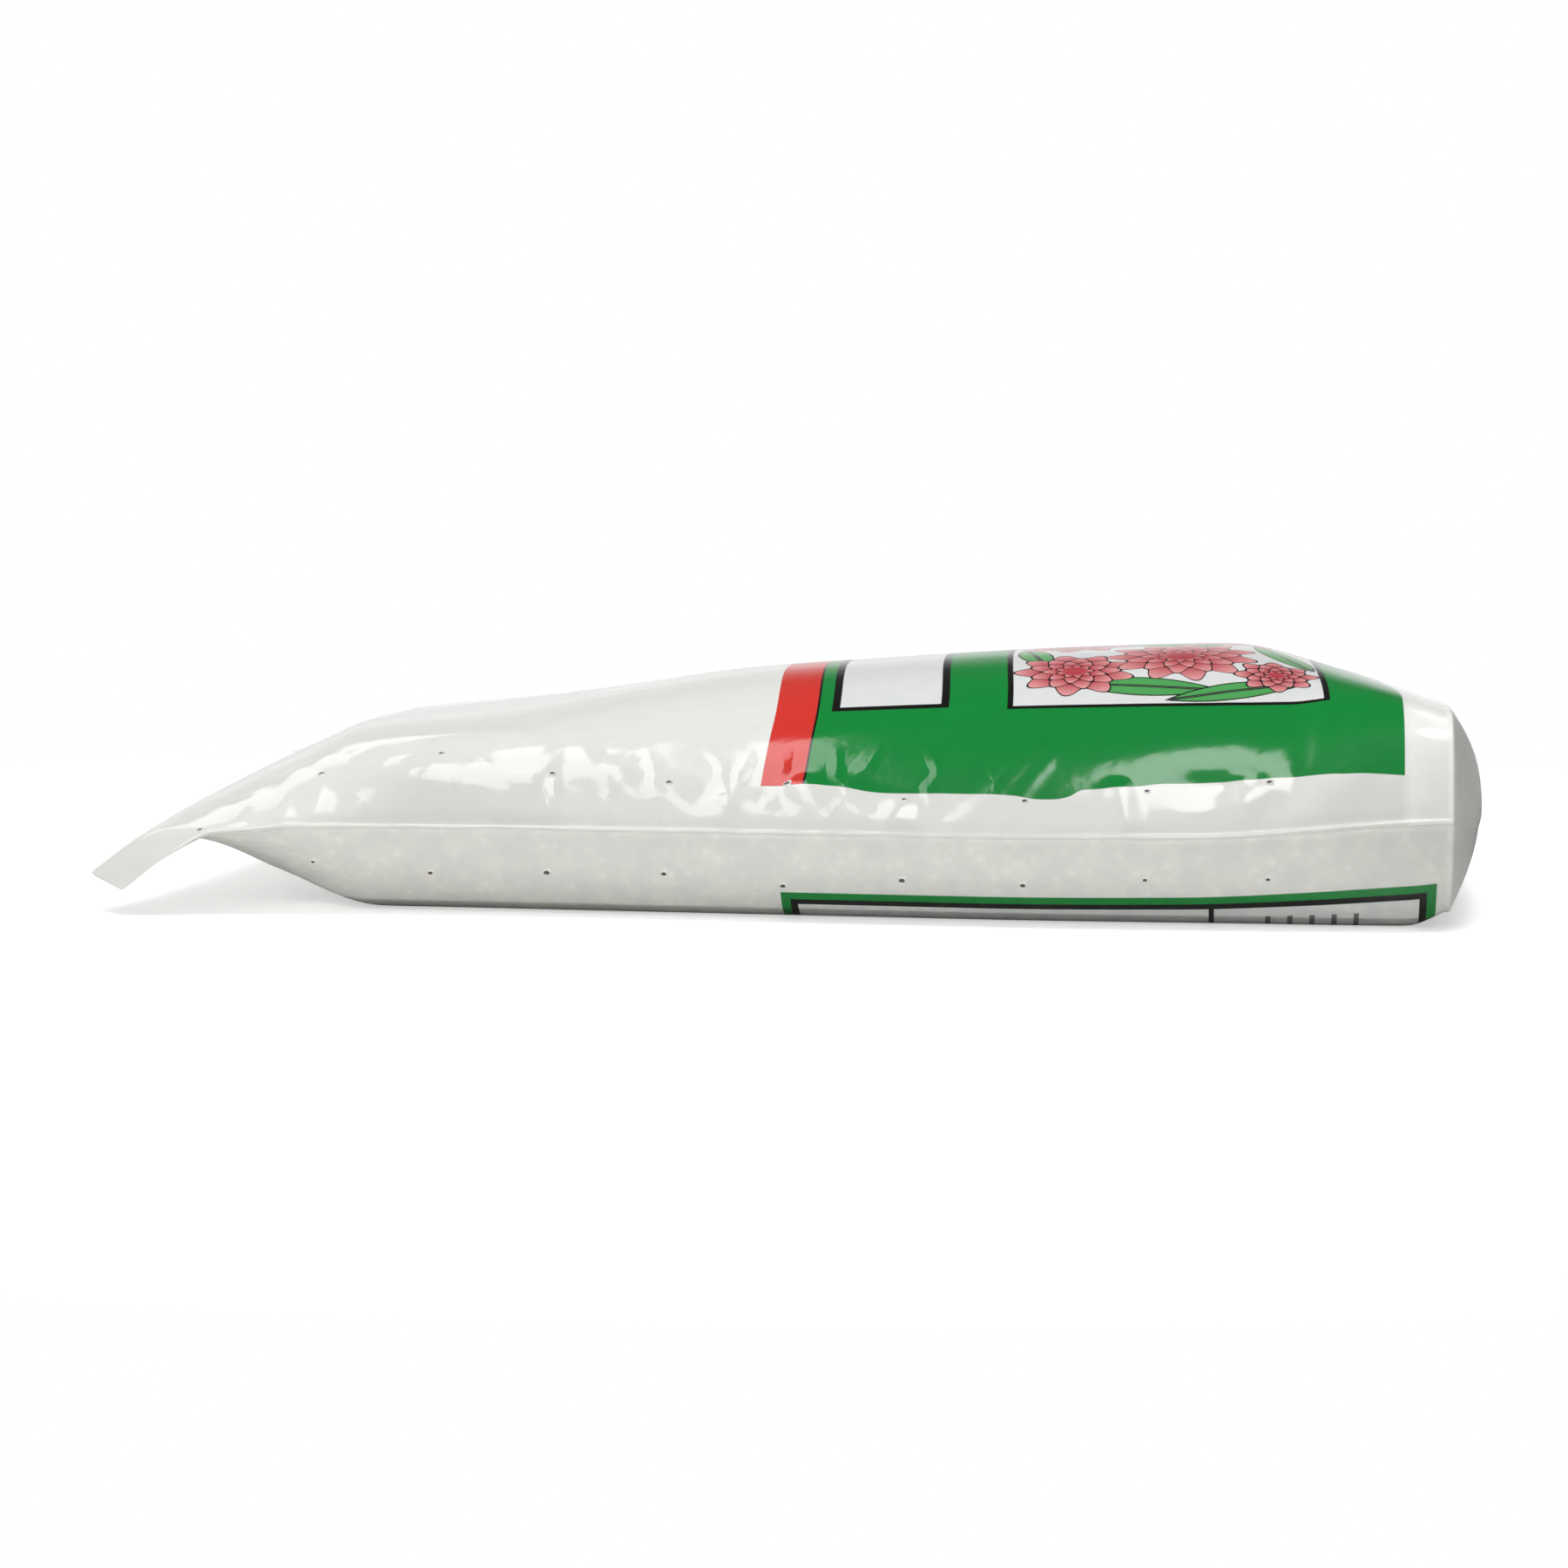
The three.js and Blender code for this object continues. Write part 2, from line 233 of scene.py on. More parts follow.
def end_tilt(station, share):
    return -END_TILT * share * ease(1 - station / END_SQUARING)


def front_height(station, share):
    arch = 1 - np.abs(share) ** arch_line(station)
    crease = crease_line(station)
    return crease + (crown_line(station) - crease) * arch + end_tilt(station, share)


def back_height(station, share):
    half_width = width_line(station)
    margin = margin_line(station)
    climb = clamp01((np.abs(share) * half_width - (half_width - margin)) / margin)
    lean = share if station < END_ROUND else 0
    belly = belly_line(station) * (1 - lean)
    crease = crease_line(station) + end_tilt(station, np.sign(share))
    return belly + (crease - belly) * climb ** blend(station, *SIDE_POWERS)


def section(station, height, distances):
    """(y, z) of one panel at film distances from its near crease."""
    share = np.sin(np.pi / 2 * np.linspace(-1, 1, SECTION_SAMPLES))
    y = share * width_line(station)
    z = height(station, share)
    along = np.concatenate([[0], np.cumsum(np.hypot(np.diff(y), np.diff(z)))])
    at = distances / LAY_FLAT_WIDTH * along[-1]
    return np.stack([np.interp(at, along, y), np.interp(at, along, z)], 1)


def panel_distances():
    """Film distances of the grid's columns across one panel, closer together towards the creases."""
    folded = np.linspace(LIP_ROOT, FOLD_REACH, FOLD_COLUMNS + 1)[:-1]
    crown = np.linspace(FOLD_REACH, flat_half_width, CROWN_COLUMNS + 1)
    half = np.concatenate([LIP_COLUMNS, folded, crown])
    return np.concatenate([half, LAY_FLAT_WIDTH - half[-2::-1]])


AROUND = 2 * PANEL_STEPS
across = panel_distances()
# Girth of each column from the near crease, over the front panel and back underneath
girth = np.concatenate([across, 2 * LAY_FLAT_WIDTH - across[-2:0:-1]])
# Distance of each column from the closest crease, and whether it is on the front and on the near side
from_crease = np.minimum(girth % LAY_FLAT_WIDTH, LAY_FLAT_WIDTH - girth % LAY_FLAT_WIDTH)
on_front = girth <= LAY_FLAT_WIDTH
on_near = (girth < flat_half_width) | (girth > 2 * LAY_FLAT_WIDTH - flat_half_width)

fill_count = round(FILL_LENGTH / STATION_STEP)
stations = np.concatenate([
    END_STATIONS,
    np.linspace(0, FILL_LENGTH, fill_count + 1)[1:-1],
    np.linspace(FILL_LENGTH, seal_start, round((seal_start - FILL_LENGTH) / STATION_STEP) + 1),
    np.linspace(seal_start, mouth_edge, SEAL_STEPS + 1)[1:],
])
# 1 along the filled part, and down to 0 at the seal
unsealed = 1 - ease((stations - FILL_LENGTH) / (MOUTH_LENGTH - SEAL_BAND))


def ring(station):
    front = section(station, front_height, across)
    back = section(station, back_height, across)
    return np.concatenate([front, back[-2:0:-1]])


def hang_ears(form):
    """Lays the film beside each crease flat, from a ridge down to the drooping corner of the mouth."""
    for k in np.flatnonzero(stations > ear_start):
        t = (stations[k] - ear_start) / EAR_LENGTH
        width = EAR_WIDTH * ease(EAR_OPENING + EAR_WIDENING * t)
        stretch = EAR_STRETCH * t ** EAR_STRETCH_POWER
        for column, near in ((0, True), (PANEL_STEPS, False)):
            corner = form[k, column].copy()
            corner[0] += EAR_SWEEP * t ** EAR_SWEEP_POWER
            corner[2] = crease_line(ear_start) - EAR_DROP * t ** EAR_DROP_POWER
            for front in (True, False):
                side = np.flatnonzero((on_front == front) & (on_near == near) & (from_crease > 0))
                side = side[np.argsort(from_crease[side])]
                away = from_crease[side]
                ridge = np.array([np.interp(width, away, form[k, side, axis]) for axis in range(3)])
                ridge[0] -= stretch
                ear = side[away < width]
                form[k, ear] = corner + (ridge - corner) * (from_crease[ear] / width)[:, None]
                beyond = side[(away >= width) & (away < EAR_FADE)]
                fade = 1 - (from_crease[beyond] - width) / (EAR_FADE - width)
                form[k, beyond, 0] -= stretch * ease(fade)
            form[k, column] = corner
    return form


def plain_form():
    """The film's grid on the solid's form, without folds: (stations, around, 3)."""
    rings = np.array([ring(s) for s in stations])
    x = np.broadcast_to(end_plane - stations[:, None, None], rings[..., :1].shape)
    return hang_ears(np.concatenate([x, rings], 2))


def outward(form):
    """Unit normals of the grid."""
    along = np.gradient(form, axis=0)
    wrapped = np.concatenate([form[:, -1:], form, form[:, :1]], 1)
    around = (wrapped[:, 2:] - wrapped[:, :-2]) / 2
    normal = np.cross(around, along)
    length = np.linalg.norm(normal, axis=2, keepdims=True)
    return normal / np.maximum(length, 1e-12)


# Folds above the near crease, in millimetres: the (station, rise) points of a crest, its height and the
# reach of its flanks. Sharp folds lie on top of broad ones. Round folds have no edge, and dents go inwards.
BROAD_FOLDS = [
    ([(313, 20), (303, 17), (293, 15), (287, 12), (283, 7), (281, 3)], 1.3, 13),
    ([(250, 23), (245, 20), (239, 16), (232, 14), (227, 9), (223, 3)], 0.8, 10),
    ([(221, 4), (220, 10), (216, 13), (210, 12), (205, 9), (198, 6)], 0.8, 8),
    ([(189, 17), (176, 9), (168, 4)], 0.9, 12),
    ([(64, 12), (54, 18)], 0.5, 6),
    ([(42, 8), (29, 19)], 0.6, 8),
]
SHARP_FOLDS = [
    ([(380, 42), (386, 26), (392, 16)], 0.6, 4),
    ([(380, 40), (371, 13), (367, 4)], 0.7, 4),
    ([(366, 20), (364, 4)], 0.6, 4),
    ([(353, 34), (351, 16), (350, 5)], 0.6, 4.5),
    ([(344, 37), (344, 31), (341, 13), (340, 4)], 0.6, 4.5),
    ([(328, 2), (327, 14), (323, 22), (316, 25)], 0.5, 7),
    ([(314, 20), (313, 9), (311, 3)], 1.1, 7),
    ([(277, 18), (274, 13), (272, 8), (268, 3)], 0.8, 7),
    ([(259, 28), (256, 17), (252, 10), (245, 1)], 0.5, 4.5),
    ([(253, 26), (249, 18), (245, 12), (240, 3)], 0.6, 4.5),
    ([(216, 12), (215, 4)], 0.6, 4),
    ([(193, 19), (189, 9), (185, 3)], 0.7, 6),
    ([(163, 11), (166, 3)], 0.8, 5),
    ([(124, 38), (129, 28), (131, 24), (135, 16), (140, 10), (146, 3)], 0.35, 5),
    ([(119, 34), (125, 22), (127, 18), (131, 8), (133, 1)], 0.22, 3.2),
    ([(98, 18), (96, 3)], 0.9, 5),
    ([(62, 21), (60, 8)], 0.7, 4),
]
ROUND_FOLDS = [
    ([(279, 38), (274, 21)], 0.55, 10),
    ([(263, 36), (261, 24)], 0.45, 7),
    ([(334, 32), (331, 22)], 0.6, 9),
]
DENTS = [
    ([(77, 20), (64, 20)], 0.7, 8),
    ([(20, 36), (20, 22)], 0.9, 20),
]
# Roundness of crests, in millimetres, and the rise at which folds have their whole lift
CREST_RADIUS = 0.8
FOLD_ROOT = 3 * MM


def away_from(points, s, v):
    """Distance from a chain of straight lines."""
    nearest = np.full(np.broadcast(s, v).shape, np.inf)
    for (s0, v0), (s1, v1) in zip(points, points[1:]):
        ds, dv = s1 - s0, v1 - v0
        t = clamp01(((s - s0) * ds + (v - v0) * dv) / (ds * ds + dv * dv))
        nearest = np.minimum(nearest, np.hypot(s - s0 - t * ds, v - v0 - t * dv))
    return nearest


def crests(folds, s, v, flank=lambda share: share):
    """Lift of folds, which meet in valleys. Their flanks are straight or follow a curve."""
    lift = np.zeros(np.broadcast(s, v).shape)
    for points, height, reach in folds:
        away = np.hypot(away_from(points, s, v), CREST_RADIUS) - CREST_RADIUS
        lift = np.maximum(lift, height * (1 - flank(away / reach)))
    return lift


def side_folds(station, rise):
    """Lift of the folds above a crease, at stations and rises in metres."""
    s, v = station / MM, rise / MM
    lift = crests(BROAD_FOLDS, s, v) + crests(SHARP_FOLDS, s, v)
    return (lift + crests(ROUND_FOLDS, s, v, ease) - crests(DENTS, s, v)) * MM


def fold_seeds():
    """Lift of every grid point. The far side has the same folds in reverse order."""
    reach = ease(from_crease / FOLD_ROOT) * on_front
    near = side_folds(stations[:, None], from_crease)
    far = side_folds(FILL_LENGTH - stations[:, None], from_crease)
    square_end = ease(stations / END_ROUND)
    return np.where(on_near, near, far) * reach * (unsealed * square_end)[:, None]


def corners(*points):
    """A face's corners, each once, so that a face at the end of a seam is a triangle."""
    return tuple(dict.fromkeys(points))


def tube_faces(rings, around=AROUND):
    """Faces between rings of points."""
    faces = []
    for k in range(rings - 1):
        for i in range(around):
            n = (i + 1) % around
            faces.append((k * around + i, k * around + n, (k + 1) * around + n, (k + 1) * around + i))
    return faces


def grid_faces():
    """Faces of the tube, the cut edge of the mouth and the end panel, over grid then end panel points."""
    count = len(stations)
    cut = (count - 1) * AROUND
    below = [i if i in (0, PANEL_STEPS) else AROUND - i for i in range(PANEL_STEPS + 1)]
    mouth = [corners(cut + i, cut + i + 1, cut + below[i + 1], cut + below[i]) for i in range(PANEL_STEPS)]
    end = []
    outer = list(range(AROUND))
    for k in range(len(END_SHARES)):
        inner = [count * AROUND + k * AROUND + i for i in range(AROUND)]
        for i in range(AROUND):
            n = (i + 1) % AROUND
            end.append((outer[i], inner[i], inner[n], outer[n]))
        outer = inner
    seam = [corners(outer[i], outer[below[i]], outer[below[i + 1]], outer[i + 1]) for i in range(PANEL_STEPS)]
    return tube_faces(count) + mouth + end + seam


def end_panel(edge):
    """Rings of the block end, from its edge in to the seam: two flaps, the upper on top."""
    seam_half_width = end_half_width - END_HEIGHT / 2
    place = 2 * (girth % LAY_FLAT_WIDTH) / LAY_FLAT_WIDTH - 1
    place = np.where(on_front, 2 * girth / LAY_FLAT_WIDTH - 1, -place)
    rings = []
    middle = 1 - place ** 4
    power = CORNER_SWELL + (np.where(on_front, UPPER_SWELL, LOWER_SWELL) - CORNER_SWELL) * middle
    for share in END_SHARES:
        swell = 1 - (1 - share) ** power
        bulge = END_BULGE * swell * (1 - (1 - SIDE_SWELL) * place ** 2)
        x = end_plane + bulge + np.where(on_front, FLAP_STEP * share, 0) * middle
        y = edge[:, 1] + (place * seam_half_width - edge[:, 1]) * share
        z = edge[:, 2] + (end_seam - edge[:, 2]) * share
        rings.append(np.stack([x, y, z], 1))
    return np.array(rings)


def placed(name, data):
    """A new object in the scene."""
    made = bpy.data.objects.new(name, data)
    bpy.context.scene.collection.objects.link(made)
    return made


def mesh_object(name, points, faces):
    mesh = bpy.data.meshes.new(name)
    mesh.from_pydata([tuple(p) for p in points.reshape(-1, 3)], [], faces)
    mesh.update()
    return placed(name, mesh)


# The cloth simulation runs at this scale, because cloth is made for things the size of a person
SIM_SCALE = 10
SIM_FRAMES = 30
FILM_CLEARANCE = 0.8 * MM

# How slack the film above the crease is along the bag, from 0 to 1
slack_along = smooth_line([
    (0, 0.1),
    (30 * MM, 0.2),
    (80 * MM, 0.35),
    (130 * MM, 0.7),
    (175 * MM, 0.3),
    (215 * MM, 0.6),
    (255 * MM, 1),
    (335 * MM, 1),
    (FILL_LENGTH, 0.4),
    (mouth_edge, 0),
])
SLACK = 0.015
# The slack sets in over this rise. A fade is its start and its length.
SLACK_RISE = 6 * MM
SLACK_FADE = (30 * MM, 30 * MM)
# How much shorter the film is along the creases than along the middle of a panel, as a share of its length
CREASE_SHORTENING = 0.008
FRONT_SHORTENING_FADE = (3 * MM, 45 * MM)
BACK_SHORTENING_FADE = (3 * MM, 25 * MM)
# Where the simulation holds the film: on the back panel, at the creases, at the block end and at the mouth
BACK_HOLD = 0.6
BACK_HOLD_FADE = (25 * MM, 15 * MM)
CREASE_HOLD_FADE = (1.5 * MM, 3 * MM)
END_HOLD_FADE = (3 * MM, 8 * MM)
MOUTH_HOLD_FADE = (330 * MM, 35 * MM)
LEAST_WEIGHT = 0.001


def past(value, start, length):
    """0 up to the start of a fade, and 1 beyond its end."""
    return ease((value - start) / length)


def shortened_film(form):
    """The film's shape at rest: the folded form, shorter along its creases."""
    front = past(from_crease, *FRONT_SHORTENING_FADE)
    back = past(from_crease, *BACK_SHORTENING_FADE)
    reach = 1 - np.where(on_front, front, back)
    rest = form.copy()
    rest[..., 0] += CREASE_SHORTENING * reach * (stations - FILL_LENGTH / 2)[:, None]
    return rest


# Width and height of the granules as shares of the form, and the room that they leave before the mouth
GRANULE_SHRINK = (0.93, 0.95)
GRANULE_GAP = 10 * MM


def granule_body(form):
    """The filling: each ring of the film's form drawn in towards its middle."""
    kept = form[stations <= FILL_LENGTH - GRANULE_GAP]
    middle = (kept.max(1, keepdims=True) + kept.min(1, keepdims=True)) / 2
    return middle + (kept - middle) * (1, *GRANULE_SHRINK)


def settle(points, faces, form):
    """Lets the film buckle over the granules and returns its points."""
    scene = bpy.context.scene
    film = mesh_object("film_simulated", points * SIM_SCALE, faces)
    count = len(stations) * AROUND
    held = np.ones(len(film.data.vertices))
    under = np.where(on_front, 0, BACK_HOLD + (1 - BACK_HOLD) * past(from_crease, *BACK_HOLD_FADE))
    by_crease = 1 - past(from_crease, *CREASE_HOLD_FADE)
    by_end = 1 - past(stations, *END_HOLD_FADE)
    by_mouth = past(stations, *MOUTH_HOLD_FADE) ** 0.5
    tied = np.maximum(np.maximum(by_end, by_mouth)[:, None], np.maximum(under, by_crease)[None, :])
    held[:count] = tied.ravel()
    slack = np.zeros(len(film.data.vertices))
    rise = ease(from_crease / SLACK_RISE) * (1 - past(from_crease, *SLACK_FADE)) * on_front
    near, far = slack_along(stations)[:, None], slack_along(FILL_LENGTH - stations)[:, None]
    slack[:count] = (np.where(on_near, near, far) * rise).ravel()
    for name, weights in (("held", held), ("slack", slack)):
        group = film.vertex_groups.new(name=name)
        for i, w in enumerate(weights):
            if w > LEAST_WEIGHT:
                group.add([i], float(w), "REPLACE")
    film.shape_key_add(name="Basis")
    at_rest = film.shape_key_add(name="at_rest")
    folded = points[:count].reshape(form.shape)
    rest = np.concatenate([shortened_film(folded).reshape(-1, 3), points[count:]])
    at_rest.data.foreach_set("co", (rest * SIM_SCALE).astype(np.float32).ravel())

    body = granule_body(form)
    rings = len(body)
    caps = [tuple(range(AROUND - 1, -1, -1)), tuple((rings - 1) * AROUND + i for i in range(AROUND))]
    fill = mesh_object("granules", body * SIM_SCALE, tube_faces(rings) + caps)
    fill.modifiers.new("Collision", "COLLISION")
    fill.collision.thickness_outer = FILM_CLEARANCE * SIM_SCALE
    fill.collision.cloth_friction = 2

    cloth = film.modifiers.new("Cloth", "CLOTH")
    rules = cloth.settings
    rules.quality = 6
    rules.mass = 0.2
    rules.tension_stiffness = 60
    rules.compression_stiffness = 60
    rules.shear_stiffness = 20
    rules.bending_stiffness = 0.2
    rules.air_damping = 3
    rules.vertex_group_mass = "held"
    rules.rest_shape_key = at_rest
    rules.vertex_group_shrink = "slack"
    rules.shrink_min = 0
    rules.shrink_max = -SLACK
    rules.effector_weights.gravity = 0
    cloth.collision_settings.distance_min = FILM_CLEARANCE * SIM_SCALE
    cloth.collision_settings.use_self_collision = False
    cloth.point_cache.frame_start = 1
    cloth.point_cache.frame_end = SIM_FRAMES
    for number in range(1, SIM_FRAMES + 1):
        scene.frame_set(number)
    evaluated = film.evaluated_get(bpy.context.evaluated_depsgraph_get())
    settled = np.empty(len(film.data.vertices) * 3)
    evaluated.data.vertices.foreach_get("co", settled)
    scene.frame_set(1)
    for spent in (film, fill):
        mesh = spent.data
        bpy.data.objects.remove(spent)
        bpy.data.meshes.remove(mesh)
    return settled.reshape(-1, 3) / SIM_SCALE


LIP_REACH = 1.7 * MM
lip_thickness = smooth_line([
    (0, 2.8 * MM),
    (20 * MM, 2.6 * MM),
    (70 * MM, 1.7 * MM),
    (FILL_LENGTH, 1.5 * MM),
    (mouth_edge, 1.5 * MM),
])
LIP_PINCH = 0.35
# Share of the lip at the block end, and the length over which it grows to the whole
LIP_AT_END = 0.3
LIP_FADE = 4 * MM
# The lip's section: columns away from the crease, with their reach and half thickness as shares
LIP_SECTION = ((0, 1, 0), (1, 0.8, 0.85), (2, 0.35, 1))


def pinch_creases(grid):
    """Draws the film beside each crease together into a rounded lip."""
    grown = LIP_AT_END + (1 - LIP_AT_END) * ease(stations / LIP_FADE)
    amount = (unsealed * grown)[:, None]
    up = lip_thickness(stations)[:, None] * (0, 0, 1)
    for column, side in ((0, -1), (PANEL_STEPS, 1)):
        out = np.array([0, side, 0])
        over, under = side * -len(LIP_SECTION) + column, side * len(LIP_SECTION) + column
        over, under = over % AROUND, under % AROUND
        root = (grid[:, over] + grid[:, under]) / 2
        for place in (over, under):
            grid[:, place] += (root - grid[:, place]) * LIP_PINCH * amount
        for step, reach, half in LIP_SECTION:
            for turn in (1, -1):
                place = (column - side * turn * step) % AROUND
                target = root + out * reach * LIP_REACH + up * (turn * half / 2)
                grid[:, place] += (target - grid[:, place]) * amount
    return grid


FOLD_LIP = 0.5 * MM


def pinch_end_fold(grid):
    """Draws the film out into a narrow edge round the block end."""
    out = outward(grid)[2] * (0, 1, 1)
    out /= np.linalg.norm(out, axis=1, keepdims=True)
    grid[:2] += out * FOLD_LIP
    return grid


def film_points():
    form = plain_form()
    normal = outward(form)
    seeded = form + normal * fold_seeds()[..., None]
    points = np.concatenate([seeded.reshape(-1, 3), end_panel(form[0]).reshape(-1, 3)])
    points = settle(points, grid_faces(), form)
    count = len(stations) * AROUND
    grid = pinch_creases(points[:count].reshape(len(stations), AROUND, 3).copy())
    grid = pinch_end_fold(grid)
    grid[..., 2] = np.maximum(grid[..., 2], 0)
    return grid, points[count:]


def film_bag(grid, end_points):
    """The bag's film as one closed mesh with its film coordinates in a UV map."""
    bag = mesh_object("bag_film", np.concatenate([grid.reshape(-1, 3), end_points]), grid_faces())
    mesh = bag.data
    layer = mesh.uv_layers.new(name="film")
    station_of = np.repeat(np.concatenate([stations, -np.array(END_SHARES) * END_HEIGHT / 2]), AROUND)
    girth_of = np.tile(girth, len(stations) + len(END_SHARES))
    corner = np.empty(len(mesh.loops), np.int64)
    mesh.loops.foreach_get("vertex_index", corner)
    uv = np.stack([station_of[corner], girth_of[corner]], 1)
    first = np.empty(len(mesh.polygons), np.int64)
    mesh.polygons.foreach_get("loop_start", first)
    sides = np.diff(np.append(first, len(mesh.loops)))
    farthest = np.repeat(np.maximum.reduceat(uv[:, 1], first), sides)
    wraps = (farthest > 1.5 * LAY_FLAT_WIDTH) & (uv[:, 1] == 0)
    uv[wraps, 1] = 2 * LAY_FLAT_WIDTH
    layer.uv.foreach_set("vector", uv.astype(np.float32).ravel())
    mesh.shade_smooth()
    smooth = bag.modifiers.new("Smooth", "SUBSURF")
    smooth.levels = smooth.render_levels = 1
    return bag


film_grid, end_points = film_points()
bag = film_bag(film_grid, end_points)


class Wire:
    """A node's output. Python arithmetic on it adds Math nodes."""

    def __init__(self, graph, socket):
        self.graph = graph
        self.socket = socket

    def math(self, operation, *values):
        return self.graph.node("ShaderNodeMath", {"operation": operation}, *values)

    def __add__(self, other):
        return self.math("ADD", self, other)

    def __radd__(self, other):
        return self.math("ADD", other, self)

    def __sub__(self, other):
        return self.math("SUBTRACT", self, other)

    def __rsub__(self, other):
        return self.math("SUBTRACT", other, self)

    def __mul__(self, other):
        return self.math("MULTIPLY", self, other)

    def __rmul__(self, other):
        return self.math("MULTIPLY", other, self)

    def __abs__(self):
        return self.math("ABSOLUTE", self)

    def above(self, edge, soft):
        """0 below the edge and 1 above it, with a soft step."""
        limits = {"From Min": edge - soft / 2, "From Max": edge + soft / 2}
        return self.graph.node("ShaderNodeMapRange", {"clamp": True}, self, **limits)

    def within(self, low, high, soft):
        return self.above(low, soft) * (1 - self.above(high, soft))


class Graph:
    """A node tree, filled by one method."""

    def __init__(self, tree):
        self.tree = tree
        self.tree.nodes.clear()

    def node(self, kind, settings=None, *values, out=0, **named):
        """Adds a node: its settings first, then its sockets' values or links, in order or by name."""
        made = self.tree.nodes.new(kind)
        for key, value in (settings or {}).items():
            setattr(made, key, value)
        for key, value in [*enumerate(values), *named.items()]:
            self.join(value, made.inputs[key])
        return Wire(self, made.outputs[out]) if made.outputs else made

    def join(self, value, target):
        if isinstance(value, Wire):
            self.tree.links.new(value.socket, target)
        else:
            target.default_value = value

    def parts(self, vector):
        """The three numbers of a vector."""
        split = self.node("ShaderNodeSeparateXYZ", None, vector).socket.node
        return [Wire(self, part) for part in split.outputs]

    def mix(self, factor, first, second, blend="MIX"):
        """A colour that goes from the first to the second."""
        made = self.tree.nodes.new("ShaderNodeMix")
        made.data_type = "RGBA"
        made.blend_type = blend
        sockets = {s.identifier: s for s in [*made.inputs, *made.outputs]}
        self.join(factor, sockets["Factor_Float"])
        for value, name in ((first, "A_Color"), (second, "B_Color")):
            self.join(value if isinstance(value, Wire) else (*value, 1), sockets[name])
        return Wire(self, sockets["Result_Color"])

    def curve(self, value, points):
        """A smooth curve through (place, value) points, level beyond them."""
        places, heights = np.array(points).T
        span, low, rise = places[-1] - places[0], heights.min(), np.ptp(heights)
        share = (value - places[0]) * (1 / span)
        made = self.node("ShaderNodeFloatCurve", None, 1.0, share)
        bends = made.socket.node.mapping.curves[0].points
        for _ in places[2:]:
            bends.new(0.5, 0.5)
        for bend, x, y in zip(bends, (places - places[0]) / span, (heights - low) / rise):
            bend.location = (x, y)
        made.socket.node.mapping.update()
        return made * rise + low


def shader_graph(owner):
    """The emptied node tree of a material or a world."""
    owner.use_nodes = True
    return Graph(owner.node_tree)


def ink(red, green, blue):
    """A colour written as the screen shows it, 0 to 255, in linear light."""
    def linear(c):
        c /= 255
        return c / 12.92 if c <= 0.04045 else ((c + 0.055) / 1.055) ** 2.4
    return tuple(linear(c) for c in (red, green, blue))


FILM_WHITE = ink(234, 234, 231)
FIELD_GREEN = ink(22, 136, 60)
BAND_RED = ink(216, 58, 50)
PRINT_BLACK = ink(24, 24, 22)
PAPER_WHITE = ink(226, 228, 228)
PETAL_DEEP = ink(190, 72, 82)
PETAL_PALE = ink(236, 172, 172)
LEAF_GREEN = ink(84, 166, 92)
LINE_GREY = ink(120, 120, 118)
# Painted shade for the inside of a vent's hole
HOLE_PAINTED_SHADE = ink(84, 76, 62)
# The film over the granules is tinted cool in places and warm in others
COOL_TINT = (0.94, 0.94, 0.953)
WARM_TINT = (1.033, 1.03, 0.978)
# Painted shade greys the film just above the crease, where its folds turn from the light, and painted light
# whitens it along the block end
FOLD_PAINTED_SHADE = (0.93, 0.93, 0.925)
END_PAINTED_LIGHT = (1.12, 1.12, 1.12)
# Painted shade darkens the back panel, which faces down. It lies on the granules, and some of them show paler
BACK_PAINTED_SHADE = (0.83, 0.83, 0.82)
GRANULE_TINT = (1.075, 1.075, 1.09)
# Painted shade greys the end panel, which faces away from the light
END_PAINTED_SHADE = (0.93, 0.93, 0.92)
# Fine wrinkles above the crease: the usual size of the film between them, and how far they wander
WRINKLE_WIDTH = 18 * MM
WRINKLE_HEIGHT = 40 * MM
WRINKLE_WANDER = 8 * MM
# Zones along and around the film: one or two edges and their softness
CREASE_STEP = (LAY_FLAT_WIDTH, 4 * MM)
END_STEP = (0, 1 * MM)
# Where the painted shade above the crease lies, and its top
FOLD_SHADE_STATIONS = (20 * MM, 330 * MM, 16 * MM)
FOLD_SHADE_TOP = (25 * MM, 18 * MM)
# Where painted light whitens the film along the block end
END_LIGHT_STATIONS = (0, 14 * MM, 3 * MM)
WRINKLE_STATIONS = (140 * MM, 345 * MM, 50 * MM)
WRINKLE_GIRTHS = (2 * MM, 34 * MM, 10 * MM)
# Noise in the film: how fine it is, and the edges in it with their softness
BLOTCH_SCALE = 150
GRANULE_SCALE = 260
CRINKLE_SCALE = 90
WARM_STEP = (0.5, 0.4)
GRANULE_STEP = (0.3, 0.35)
GRANULE_SPREAD = (0.47, 0.25)
WRINKLE_STEP = (0.08, 0.16)
# Share of the tints on the front panel. The back panel has them whole.
FRONT_TINTING = 0.45
# Relief and roughness of the front panel, and what the others add to it
FRONT_RELIEF = 0.15
BACK_RELIEF = 1.05
CRINKLE_RELIEF = 0.5
WRINKLE_RELIEF = 1.1
BUMP_STRENGTH = 0.12
FRONT_ROUGHNESS = 0.09
BACK_ROUGHNESS = 0.16
END_ROUGHNESS = 0.35

PRINT_EDGE = 0.25 * MM
# The film is drawn towards the mouth over the crown, which bows the print
PRINT_BOW = 4 * MM
PRINT_BOW_REACH = 75 * MM

